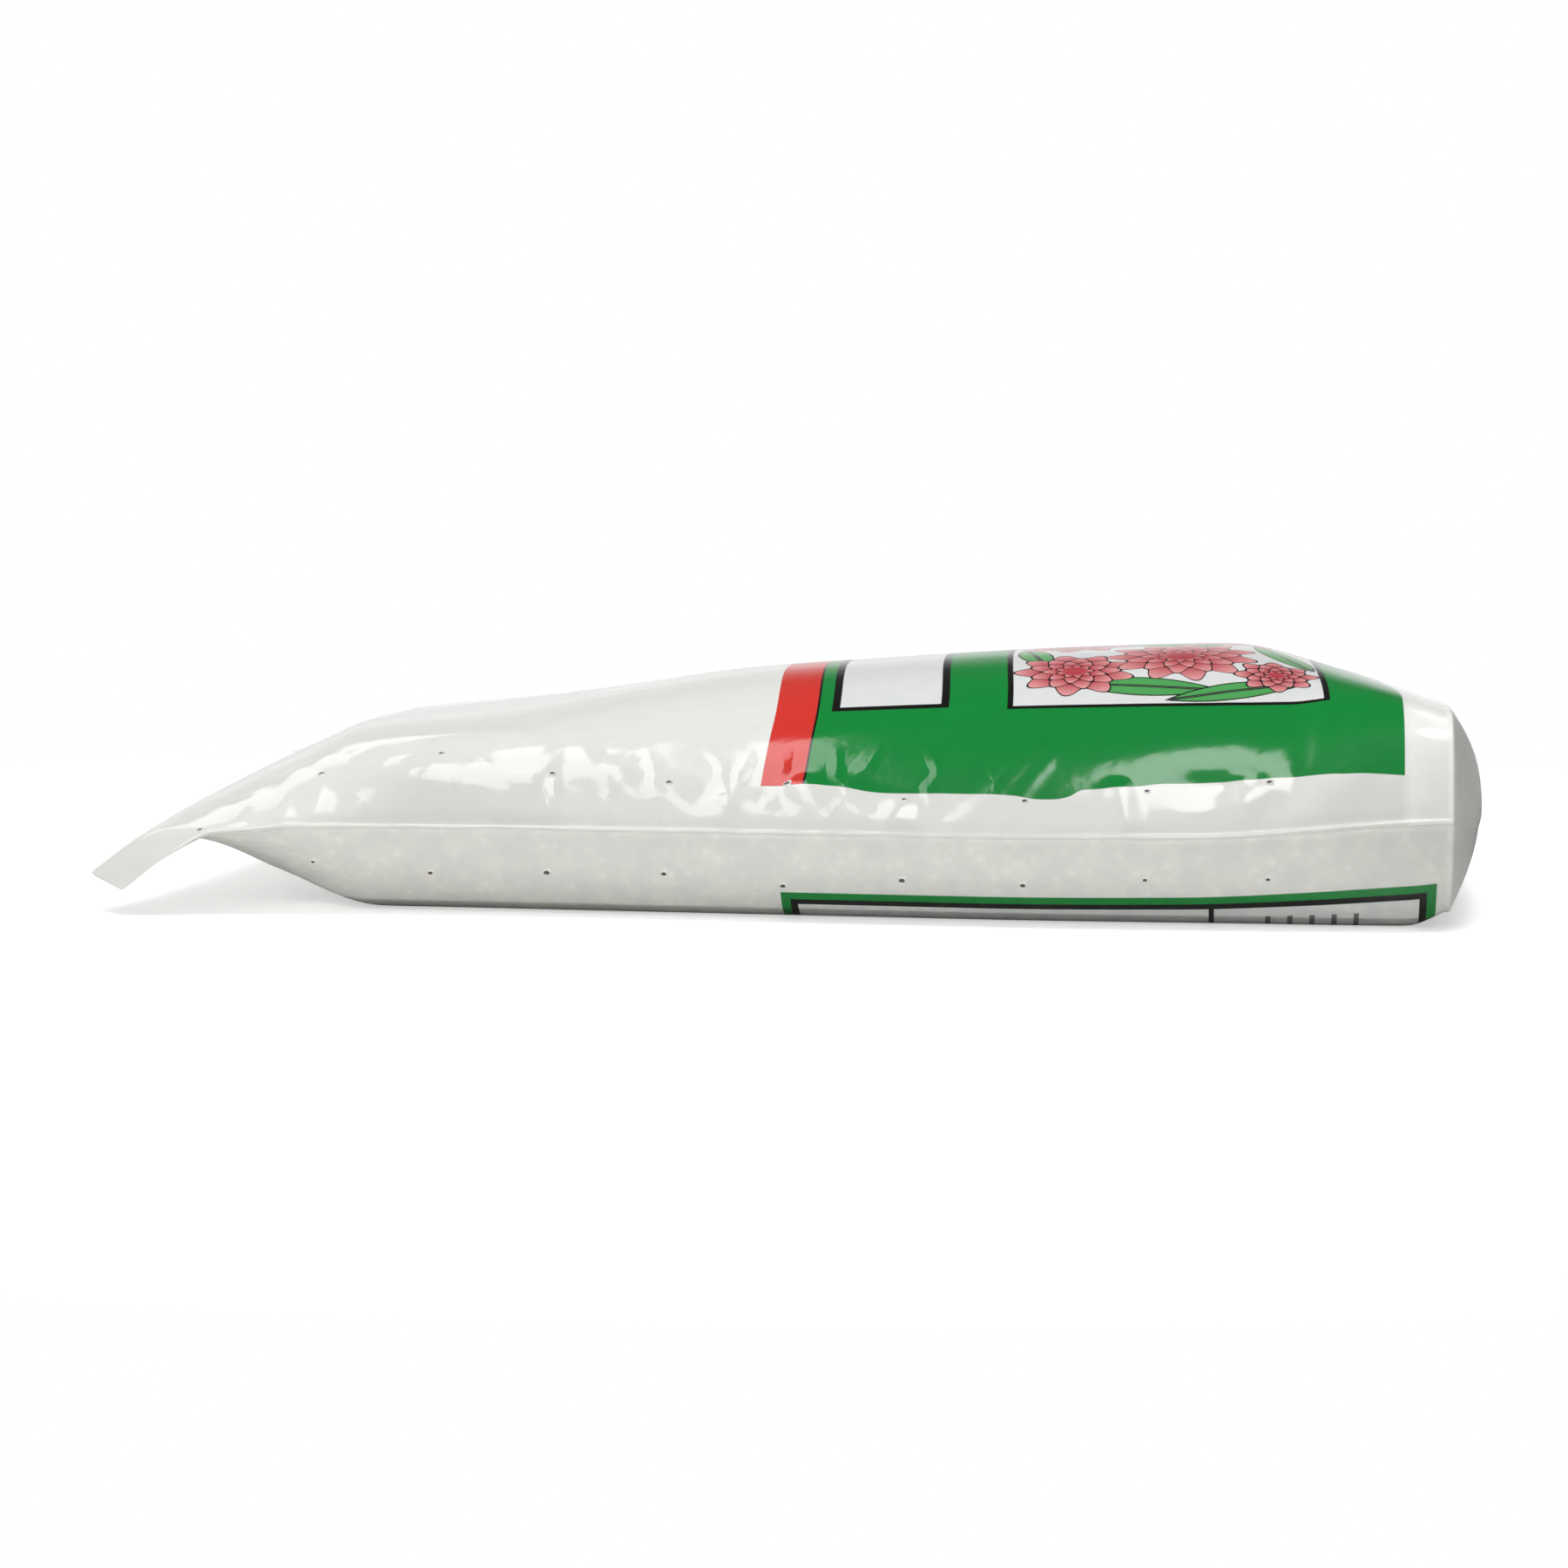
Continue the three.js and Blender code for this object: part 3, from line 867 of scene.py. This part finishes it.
# Print on the front panel: stations and girths of its fields
FIELD_STATIONS = (14.5 * MM, 192.5 * MM)
FIELD_FAR_EDGE = LAY_FLAT_WIDTH - 18 * MM
BAND_STATIONS = (193.2 * MM, 206 * MM)
BOX_STATIONS = (152 * MM, 188.5 * MM)
BOX_GIRTHS = (59 * MM, LAY_FLAT_WIDTH - 59 * MM)
BOX_FRAME = 2.5 * MM
WINDOW_STATIONS = (36 * MM, 134 * MM)
WINDOW_GIRTHS = (57 * MM, LAY_FLAT_WIDTH - 57 * MM)
WINDOW_FRAME = 1.8 * MM
# The near edge of the field wanders where folds draw the film in: station and girth, in millimetres
FIELD_NEAR_EDGE = [
    (14, 16.8), (30, 19.6), (51, 21.8), (76, 21.6), (97, 19.4), (109, 18.6),
    (119, 14.8), (130, 16.2), (150, 17), (167, 16.9), (184, 19.5), (207, 20),
]

# Flowers and leaves in the window, in millimetres: place, radius and petals, and place, turn and half size
FLOWERS = [
    (113, 83, 19, 9), (79, 97, 24, 11), (51, 78, 13, 8), (112, 128, 19, 9),
    (60, 136, 18, 9), (93, 163, 23, 10), (53, 176, 15, 8), (121, 180, 11, 8),
]
LEAVES = [
    (93, 70, 8, 24, 6), (64, 66, -14, 22, 5), (125, 104, 78, 17, 5), (47, 104, 66, 20, 6),
    (88, 128, 35, 24, 7), (73, 118, -50, 20, 6), (118, 154, 70, 20, 6), (70, 182, 20, 22, 6),
    (104, 188, -16, 22, 5), (50, 152, -70, 16, 5),
]
PETAL_RINGS = (1, 0.76, 0.54, 0.32)
# Notches between petals as a share of the radius, the line in a notch and where a petal turns pale
PETAL_NOTCH = 0.13
PETAL_GAP = (-0.985, 0.01)
PETAL_SHADE = (0.8, 0.5)
OUTLINE = 0.35 * MM

# Print on the back panel
BACK_STATIONS = (4.5 * MM, 199 * MM)
BACK_GIRTHS = (LAY_FLAT_WIDTH + 20.5 * MM, 2 * LAY_FLAT_WIDTH - 20.5 * MM)
BACK_BORDER = 2.8 * MM
BACK_FRAME = 2.2 * MM
DIVIDER_STATIONS = (69.7 * MM, 71.3 * MM)
LINE_PITCH = 6.5 * MM
LINE_WIDTH = 1.6 * MM
LINE_START = 1 * MM
LINE_STATIONS = (18 * MM, 64 * MM)
LINE_INSET = 4 * MM


class Print:
    """Fields of colour on the film, in film coordinates."""

    def __init__(self, graph, station, girth_at):
        self.graph = graph
        self.mix = graph.mix
        self.station = station
        self.girth = girth_at

    def field(self, stations_range, girths_range, inset=0.0):
        along = self.station.within(stations_range[0] + inset, stations_range[1] - inset, PRINT_EDGE)
        return along * self.girth.within(girths_range[0] + inset, girths_range[1] - inset, PRINT_EDGE)

    def framed(self, colour, stations_range, girths_range, frame_width, inside):
        colour = self.mix(self.field(stations_range, girths_range), colour, PRINT_BLACK)
        return self.mix(self.field(stations_range, girths_range, frame_width), colour, inside)

    def outlined(self, colour, depth, inside):
        """A shape with a black outline, from the depth inside its edge."""
        colour = self.mix(depth.above(-OUTLINE, PRINT_EDGE), colour, PRINT_BLACK)
        return self.mix(depth.above(OUTLINE, PRINT_EDGE), colour, inside)

    def leaf(self, colour, station, girth_at, turn, half_length, half_width):
        cos, sin = math.cos(math.radians(turn)), math.sin(math.radians(turn))
        a, b = self.station - station, self.girth - girth_at
        along, over = (a * cos + b * sin) * (1 / half_length), abs(b * cos - a * sin)
        depth = (1 - along * along) * half_width - over
        rib = over - OUTLINE
        return self.outlined(colour, depth.math("MINIMUM", depth, rib), LEAF_GREEN)

    def flower(self, colour, station, girth_at, radius, petals):
        a, b = self.station - station, self.girth - girth_at
        away = (a * a + b * b).math("SQRT", a * a + b * b)
        turn = a.math("ARCTAN2", b, a) * petals
        for k, share in enumerate(PETAL_RINGS):
            lobes = turn.math("COSINE", turn + k * math.pi)
            depth = (1 - PETAL_NOTCH + PETAL_NOTCH * lobes) * (radius * share) - away
            gap = lobes.above(*PETAL_GAP)
            outer = (away * (1 / (radius * share))).above(*PETAL_SHADE)
            shade = self.mix(outer, PETAL_DEEP, PETAL_PALE)
            colour = self.outlined(colour, depth, self.mix(gap, PRINT_BLACK, shade))
        return colour

    def bouquet(self):
        colour = PAPER_WHITE
        for *place, turn, half_length, half_width in LEAVES:
            colour = self.leaf(colour, *(p * MM for p in place), turn, half_length * MM, half_width * MM)
        for *place, radius, petals in FLOWERS:
            colour = self.flower(colour, *(p * MM for p in place), radius * MM, petals)
        return colour

    def front(self, colour):
        near_edge = self.graph.curve(self.station, [(s * MM, g * MM) for s, g in FIELD_NEAR_EDGE])
        below_far_edge = 1 - self.girth.above(FIELD_FAR_EDGE, PRINT_EDGE)
        across_field = (self.girth - near_edge).above(0, PRINT_EDGE) * below_far_edge
        for ends, tone in (
            ((FIELD_STATIONS[0], BAND_STATIONS[1]), PRINT_BLACK),
            (BAND_STATIONS, BAND_RED),
            (FIELD_STATIONS, FIELD_GREEN),
        ):
            colour = self.mix(across_field * self.station.within(*ends, PRINT_EDGE), colour, tone)
        colour = self.framed(colour, BOX_STATIONS, BOX_GIRTHS, BOX_FRAME, PAPER_WHITE)
        return self.framed(colour, WINDOW_STATIONS, WINDOW_GIRTHS, WINDOW_FRAME, self.bouquet())

    def back(self, colour):
        """A border, a frame with a divider, and a block of bars."""
        inset = BACK_BORDER + BACK_FRAME
        for edge, tone in ((0, FIELD_GREEN), (BACK_BORDER, PRINT_BLACK), (inset, PAPER_WHITE)):
            colour = self.mix(self.field(BACK_STATIONS, BACK_GIRTHS, edge), colour, tone)
        framed_girths = (BACK_GIRTHS[0] + BACK_BORDER, BACK_GIRTHS[1] - BACK_BORDER)
        colour = self.mix(self.field(DIVIDER_STATIONS, framed_girths), colour, PRINT_BLACK)
        row = self.station.math("FLOORED_MODULO", self.station, LINE_PITCH)
        bars = row.within(LINE_START, LINE_START + LINE_WIDTH, PRINT_EDGE)
        bars = bars * self.field(LINE_STATIONS, BACK_GIRTHS, inset + LINE_INSET)
        return self.mix(bars, colour, LINE_GREY)


def film_material():
    made = bpy.data.materials.new("printed_film")
    s = shader_graph(made)
    film_u, v, _ = s.parts(s.node("ShaderNodeUVMap", {"uv_map": "film"}))
    rise = (v - flat_half_width) * (1 / PRINT_BOW_REACH)
    crowned = rise.math("MAXIMUM", 1 - rise * rise, 0)
    fields = Print(s, film_u - crowned * crowned * PRINT_BOW, v)
    colour = fields.back(fields.front(FILM_WHITE))

    coords = s.node("ShaderNodeTexCoord", None, out="Object")
    lower = v.above(*CREASE_STEP) * film_u.above(*END_STEP)
    at_end = 1 - film_u.above(*END_STEP)
    # Painted shade just above the crease
    fold_shade = film_u.within(*FOLD_SHADE_STATIONS) * (1 - v.above(*FOLD_SHADE_TOP))
    # Painted light along the block end's fold
    end_light = film_u.within(*END_LIGHT_STATIONS) * (1 - v.above(*CREASE_STEP))
    blotches = s.node("ShaderNodeTexNoise", None, Vector=coords, Scale=BLOTCH_SCALE, Detail=2.5)
    rounded = {"feature": "SMOOTH_F1"}
    prill = s.node("ShaderNodeTexVoronoi", rounded, Vector=coords, Scale=GRANULE_SCALE, Smoothness=0.6)
    granules = (1 - prill.above(*GRANULE_STEP)) * blotches.above(*GRANULE_SPREAD) * lower
    tint = s.mix(blotches.above(*WARM_STEP), COOL_TINT, WARM_TINT)
    for where, tone in (
        (FRONT_TINTING + (1 - FRONT_TINTING) * lower, tint),
        # painted shade above the crease
        (fold_shade, FOLD_PAINTED_SHADE),
        # painted light along the block end
        (end_light, END_PAINTED_LIGHT),
        # painted shade on the back panel
        (lower, BACK_PAINTED_SHADE),
        (granules, GRANULE_TINT),
        # painted shade on the end panel
        (at_end, END_PAINTED_SHADE),
    ):
        colour = s.mix(where, colour, tone, "MULTIPLY")

    crinkle = s.node("ShaderNodeTexNoise", None, Vector=coords, Scale=CRINKLE_SCALE, Detail=3)
    wandering = (film_u + crinkle * WRINKLE_WANDER) * (1 / WRINKLE_WIDTH)
    wrinkled = s.node("ShaderNodeCombineXYZ", None, wandering, v * (1 / WRINKLE_HEIGHT))
    cells = {"feature": "DISTANCE_TO_EDGE", "voronoi_dimensions": "2D"}
    wrinkles = 1 - s.node("ShaderNodeTexVoronoi", cells, Vector=wrinkled, Scale=1.0).above(*WRINKLE_STEP)
    slack_film = film_u.within(*WRINKLE_STATIONS) * v.within(*WRINKLE_GIRTHS)
    grain = prill * (FRONT_RELIEF + BACK_RELIEF * lower) * -1
    height = grain + crinkle * CRINKLE_RELIEF + wrinkles * slack_film * WRINKLE_RELIEF
    bump = s.node("ShaderNodeBump", None, Strength=BUMP_STRENGTH, Distance=1.0 * MM, Height=height)
    roughness = FRONT_ROUGHNESS + BACK_ROUGHNESS * lower + END_ROUGHNESS * at_end
    shader = s.node("ShaderNodeBsdfPrincipled", None, **{
        "Base Color": colour, "Roughness": roughness, "IOR": 1.5, "Normal": bump,
    })
    s.node("ShaderNodeOutputMaterial", None, shader)
    return made


bag.data.materials.append(film_material())
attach(bag, "root")
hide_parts(NODE)


# Vent punctures: each has a hole painted dark as its shade and a torn rim of film. Rises are above the
# crease, in millimetres.
FIRST_VENT = 54 * MM
VENT_PITCH = 36 * MM
VENT_RISES = (20, 18, 14, 14, 20.6, 20, 21.6, 31, 25)
VENT_DROPS = (15, 14, 16, 15, 18, 14.5, 15, 16, 15)
# Single tears near the mouth: on the ridge of the near ear, and on the crown
MOUTH_TEARS = ((374, 4), (370, 97))
# Size of a vent, and the least and greatest share of it
VENT_SIZE = 1.25 * MM
VENT_SHARES = (0.75, 1.2)
VENT_SEED = 11
# How far the points of a tear stray from its rings, outwards and in height, as shares
TEAR_POINTS = 11
TEAR_RAGGED = 0.25
TEAR_UNEVEN = 0.7
TEAR_ROUGHNESS = 0.4
# Rings of a tear: radius and height as shares of its size, and how much of the hole's painted shade is there
TEAR_RINGS = ((0.05, 0.08, 1), (0.5, 0.08, 1), (0.72, 0.34, 0), (1.25, -0.12, 0))


def vent_places():
    """Stations and girths of all vents. The far side has them in reverse order."""
    places = [(s * MM, rise * MM) for s, rise in MOUTH_TEARS]
    for k, (rise, drop) in enumerate(zip(VENT_RISES, VENT_DROPS)):
        station = FIRST_VENT + k * VENT_PITCH
        mirrored = FILL_LENGTH - station
        places += [(station, rise * MM), (station, 2 * LAY_FLAT_WIDTH - drop * MM)]
        places += [(mirrored, LAY_FLAT_WIDTH - rise * MM), (mirrored, LAY_FLAT_WIDTH + drop * MM)]
    return places


def on_film(station, around):
    """A point of the film's grid."""
    k = np.interp(station, stations, np.arange(len(stations)))
    low = int(min(k, len(stations) - 2))
    ring_there = film_grid[low] + (film_grid[low + 1] - film_grid[low]) * (k - low)
    return [float(np.interp(around, girth, ring_there[:, axis])) for axis in range(3)]


def give(mesh, name, kind, key, values):
    """Stores one value per point."""
    mesh.attributes.new(name, kind, "POINT").data.foreach_set(key, np.ravel(values))


def tear():
    """One puncture of size 1, +Z out of the film."""
    random = np.random.default_rng(VENT_SEED)
    turn = np.arange(TEAR_POINTS) * 2 * np.pi / TEAR_POINTS
    points = []
    for radius, height, dark in TEAR_RINGS:
        ragged = radius * (1 + random.uniform(-TEAR_RAGGED, TEAR_RAGGED, TEAR_POINTS))
        rise = height * (1 + random.uniform(-TEAR_UNEVEN, TEAR_UNEVEN, TEAR_POINTS) * (1 - dark))
        points.append(np.stack([ragged * np.cos(turn), ragged * np.sin(turn), rise], 1))
    rim = [(a, d, c, b) for a, b, c, d in tube_faces(len(TEAR_RINGS), TEAR_POINTS)]
    made = mesh_object("tear", np.array(points), [tuple(range(TEAR_POINTS)), *rim])
    give(made.data, "hole", "FLOAT", "value", np.repeat([dark for *_, dark in TEAR_RINGS], TEAR_POINTS))
    return made


def tear_material():
    made = bpy.data.materials.new("torn_film")
    s = shader_graph(made)
    hole = s.node("ShaderNodeAttribute", {"attribute_name": "hole"}, out="Fac")
    # The hole is painted dark, as the shade inside it
    colour = s.mix(hole, FILM_WHITE, HOLE_PAINTED_SHADE)
    shader = s.node("ShaderNodeBsdfPrincipled", None, **{"Base Color": colour, "Roughness": TEAR_ROUGHNESS})
    s.node("ShaderNodeOutputMaterial", None, shader)
    return made


def set_tears():
    """A node group that sets one tear on each point, facing as the film does there."""
    group = bpy.data.node_groups.new("set_tears", "GeometryNodeTree")
    sockets = {}
    for name, kind in (("Places", "Geometry"), ("Tear", "Object"), ("Size", "Float"), ("Film", "Material")):
        made = group.interface.new_socket(name, in_out="INPUT", socket_type="NodeSocket" + kind)
        sockets[name] = made.identifier
    group.interface.new_socket("Tears", in_out="OUTPUT", socket_type="NodeSocketGeometry")
    g = Graph(group)
    inputs = g.node("NodeGroupInput").socket.node.outputs
    places, torn, size, film = (Wire(g, inputs[name]) for name in sockets)
    shape = g.node("GeometryNodeObjectInfo", None, torn, out="Geometry")
    facing = g.node("GeometryNodeInputNamedAttribute", {"data_type": "FLOAT_VECTOR"}, "facing")
    share = g.node("GeometryNodeInputNamedAttribute", {"data_type": "FLOAT"}, "share")
    upright = g.node("FunctionNodeAlignRotationToVector", {"axis": "Z"}, Vector=facing)
    scale = g.node("ShaderNodeMath", {"operation": "MULTIPLY"}, size, share)
    laid = {"Instance": shape, "Rotation": upright, "Scale": scale}
    tears = g.node("GeometryNodeInstanceOnPoints", None, places, **laid)
    solid = g.node("GeometryNodeRealizeInstances", None, tears)
    g.node("NodeGroupOutput", None, g.node("GeometryNodeSetMaterial", None, solid, Material=film))
    return group, sockets


def vent_punctures():
    surface = bag.evaluated_get(bpy.context.evaluated_depsgraph_get())
    found = [surface.closest_point_on_mesh(on_film(*place)) for place in vent_places()]
    holder = mesh_object("vent_places", np.array([spot for _, spot, _, _ in found]), [])
    give(holder.data, "facing", "FLOAT_VECTOR", "vector", [tuple(facing) for _, _, facing, _ in found])
    random = np.random.default_rng(VENT_SEED)
    give(holder.data, "share", "FLOAT", "value", random.uniform(*VENT_SHARES, len(found)))
    shape = tear()
    group, sockets = set_tears()
    setter = holder.modifiers.new("Tears", "NODES")
    setter.node_group = group
    setter[sockets["Tear"]] = shape
    setter[sockets["Size"]] = VENT_SIZE
    setter[sockets["Film"]] = tear_material()
    graph = bpy.context.evaluated_depsgraph_get()
    mesh = bpy.data.meshes.new_from_object(holder.evaluated_get(graph), depsgraph=graph)
    made = placed("vent_punctures", mesh)
    mesh.shade_smooth()
    for spent in (holder, shape):
        bpy.data.objects.remove(spent)
    return made


vents = vent_punctures()
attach(vents, "root")
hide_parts(NODE)


# The floor. The camera sees it brighter by its lift. A fade or step is an edge and its softness.
FLOOR_REACH = 6
FLOOR_LIFT = 0.5
FLOOR_WHITE = (0.95, 0.95, 0.95)
FLOOR_FADE = (0.45, 0.3)
# A dark card lies on the floor beside the block end, out of the picture
CARD_SIDE = (0.238, 0.04)
CARD_FRONT = (-0.1, 0.1)
CARD_DARKNESS = 0.9
# The world's light from the sides and from the top
WORLD_SIDES = 0.74
WORLD_TOP = 0.25
TOP_STEP = (0.5, 0.6)
# How dark it is above the far side and beside the block end
ROOM_DARKNESS = 0.85
ROOM_BACK_STEP = (0.1, 0.3)
ROOM_UP_STEP = (0.3, 0.3)
END_DARKNESS = 0.95
END_RIGHT_STEP = (0.35, 0.4)
END_UP_STEP = (0.7, 0.4)
# What reflections show low down behind the object
HAZE = 0.72
HAZE_BACK_STEP = (0.5, 0.4)
HAZE_UP_STEP = (0.05, 0.08)


def light_path(s):
    """1 for the camera's rays, and 1 for rays that are reflected or pass through."""
    kinds = ("Camera", "Glossy", "Transmission")
    camera, glossy, through = (s.node("ShaderNodeLightPath", None, out=f"Is {kind} Ray") for kind in kinds)
    return camera, glossy.math("MAXIMUM", glossy, through)


def white_floor():
    corners_at = [(-1, -1, 0), (1, -1, 0), (1, 1, 0), (-1, 1, 0)]
    floor = mesh_object("floor", np.array(corners_at) * FLOOR_REACH, [(0, 1, 2, 3)])
    made = bpy.data.materials.new("floor_white")
    s = shader_graph(made)
    coords = s.node("ShaderNodeTexCoord", None, out="Object")
    right, depth, _ = s.parts(coords)
    camera, mirrored = light_path(s)
    card = right.above(*CARD_SIDE) * depth.above(*CARD_FRONT) * (1 - camera) * CARD_DARKNESS
    matte = s.node("ShaderNodeBsdfDiffuse", None, s.mix(card, FLOOR_WHITE, (0, 0, 0)))
    lift = s.node("ShaderNodeEmission", None, (1, 1, 1, 1), camera * FLOOR_LIFT)
    near = s.node("ShaderNodeAddShader", None, matte, lift)
    white = s.node("ShaderNodeEmission", None, (1, 1, 1, 1), 1.0)
    away = s.node("ShaderNodeVectorMath", {"operation": "LENGTH"}, coords, out="Value")
    far = away.above(*FLOOR_FADE) * camera.math("MAXIMUM", camera, mirrored)
    s.node("ShaderNodeOutputMaterial", None, s.node("ShaderNodeMixShader", None, far, near, white))
    floor.data.materials.append(made)


def studio_world():
    """White behind the object. As light, it is dim above the far side and beside the block end."""
    world = bpy.data.worlds.new("studio")
    bpy.context.scene.world = world
    s = shader_graph(world)
    right, back, up = s.parts(s.node("ShaderNodeTexCoord", None, out="Generated"))
    camera, mirrored = light_path(s)
    light = WORLD_SIDES + (WORLD_TOP - WORLD_SIDES) * up.above(*TOP_STEP)
    light = light * (1 - back.above(*ROOM_BACK_STEP) * up.above(*ROOM_UP_STEP) * ROOM_DARKNESS)
    light = light * (1 - right.above(*END_RIGHT_STEP) * (1 - up.above(*END_UP_STEP)) * END_DARKNESS)
    behind = mirrored * back.above(*HAZE_BACK_STEP) * (1 - up.above(*HAZE_UP_STEP))
    light = light + (HAZE - light) * behind
    strength = light + (1 - light) * camera
    s.node("ShaderNodeOutputWorld", None, s.node("ShaderNodeBackground", None, (1, 1, 1, 1), strength))


def lamp(name, place, size, energy, turn=0, mirrored=True, shape="RECTANGLE", tip=0):
    """An area lamp that shines straight down, unless it is tipped. Angles are in degrees."""
    data = bpy.data.lights.new(name, "AREA")
    data.shape = shape
    data.size, data.size_y = size
    data.energy = energy
    made = placed(name, data)
    made.location = place
    made.rotation_euler = (math.radians(tip), 0, math.radians(turn))
    made.visible_glossy = mirrored


# The camera: its angles in degrees, its distance from the target and the width of the picture there
CAMERA_YAW = 8
CAMERA_RISE = 5
CAMERA_ROLL = 0.27
CAMERA_DISTANCE = 1.12
CAMERA_TARGET = Vector((-15.5 * MM, 0, 32 * MM))
FRAME_WIDTH = 518.4 * MM


def photo_camera():
    yaw, rise, roll = (math.radians(a) for a in (CAMERA_YAW, CAMERA_RISE, CAMERA_ROLL))
    back = Vector((math.sin(yaw) * math.cos(rise), -math.cos(yaw) * math.cos(rise), math.sin(rise)))
    level = Vector((0, 0, 1)).cross(back).normalized()
    upright = back.cross(level)
    right = level * math.cos(roll) + upright * math.sin(roll)
    up = upright * math.cos(roll) - level * math.sin(roll)
    data = bpy.data.cameras.new("camera")
    data.sensor_width = 36
    data.lens = data.sensor_width * CAMERA_DISTANCE / FRAME_WIDTH
    made = placed("camera", data)
    turn = Matrix((right, up, back)).transposed().to_4x4()
    made.matrix_world = Matrix.Translation(CAMERA_TARGET + back * CAMERA_DISTANCE) @ turn
    bpy.context.scene.camera = made


white_floor()
studio_world()
lamp("box_left", (-0.314, 0.12, 1.25), (0.3, 0.66), energy=1.8, turn=9)
lamp("box_mouth", (-1.2, 1.4, 1.25), (0.9, 1.1), energy=3.6)
lamp("box_right", (0.22, -0.09, 1.25), (0.3, 0.36), energy=1.4, turn=20, shape="ELLIPSE")
lamp("strip_end", (0.37, 0.35, 1.25), (0.26, 1.3), energy=1.7)
lamp("ceiling", (-0.25, 0.12, 1.6), (1.8, 1.2), energy=22.5, mirrored=False)
lamp("floor_box", (0.015, -0.168, 0.003), (0.37, 0.165), energy=0.05, mirrored=False, tip=180)
photo_camera()
bpy.context.scene.view_settings.view_transform = "Standard"
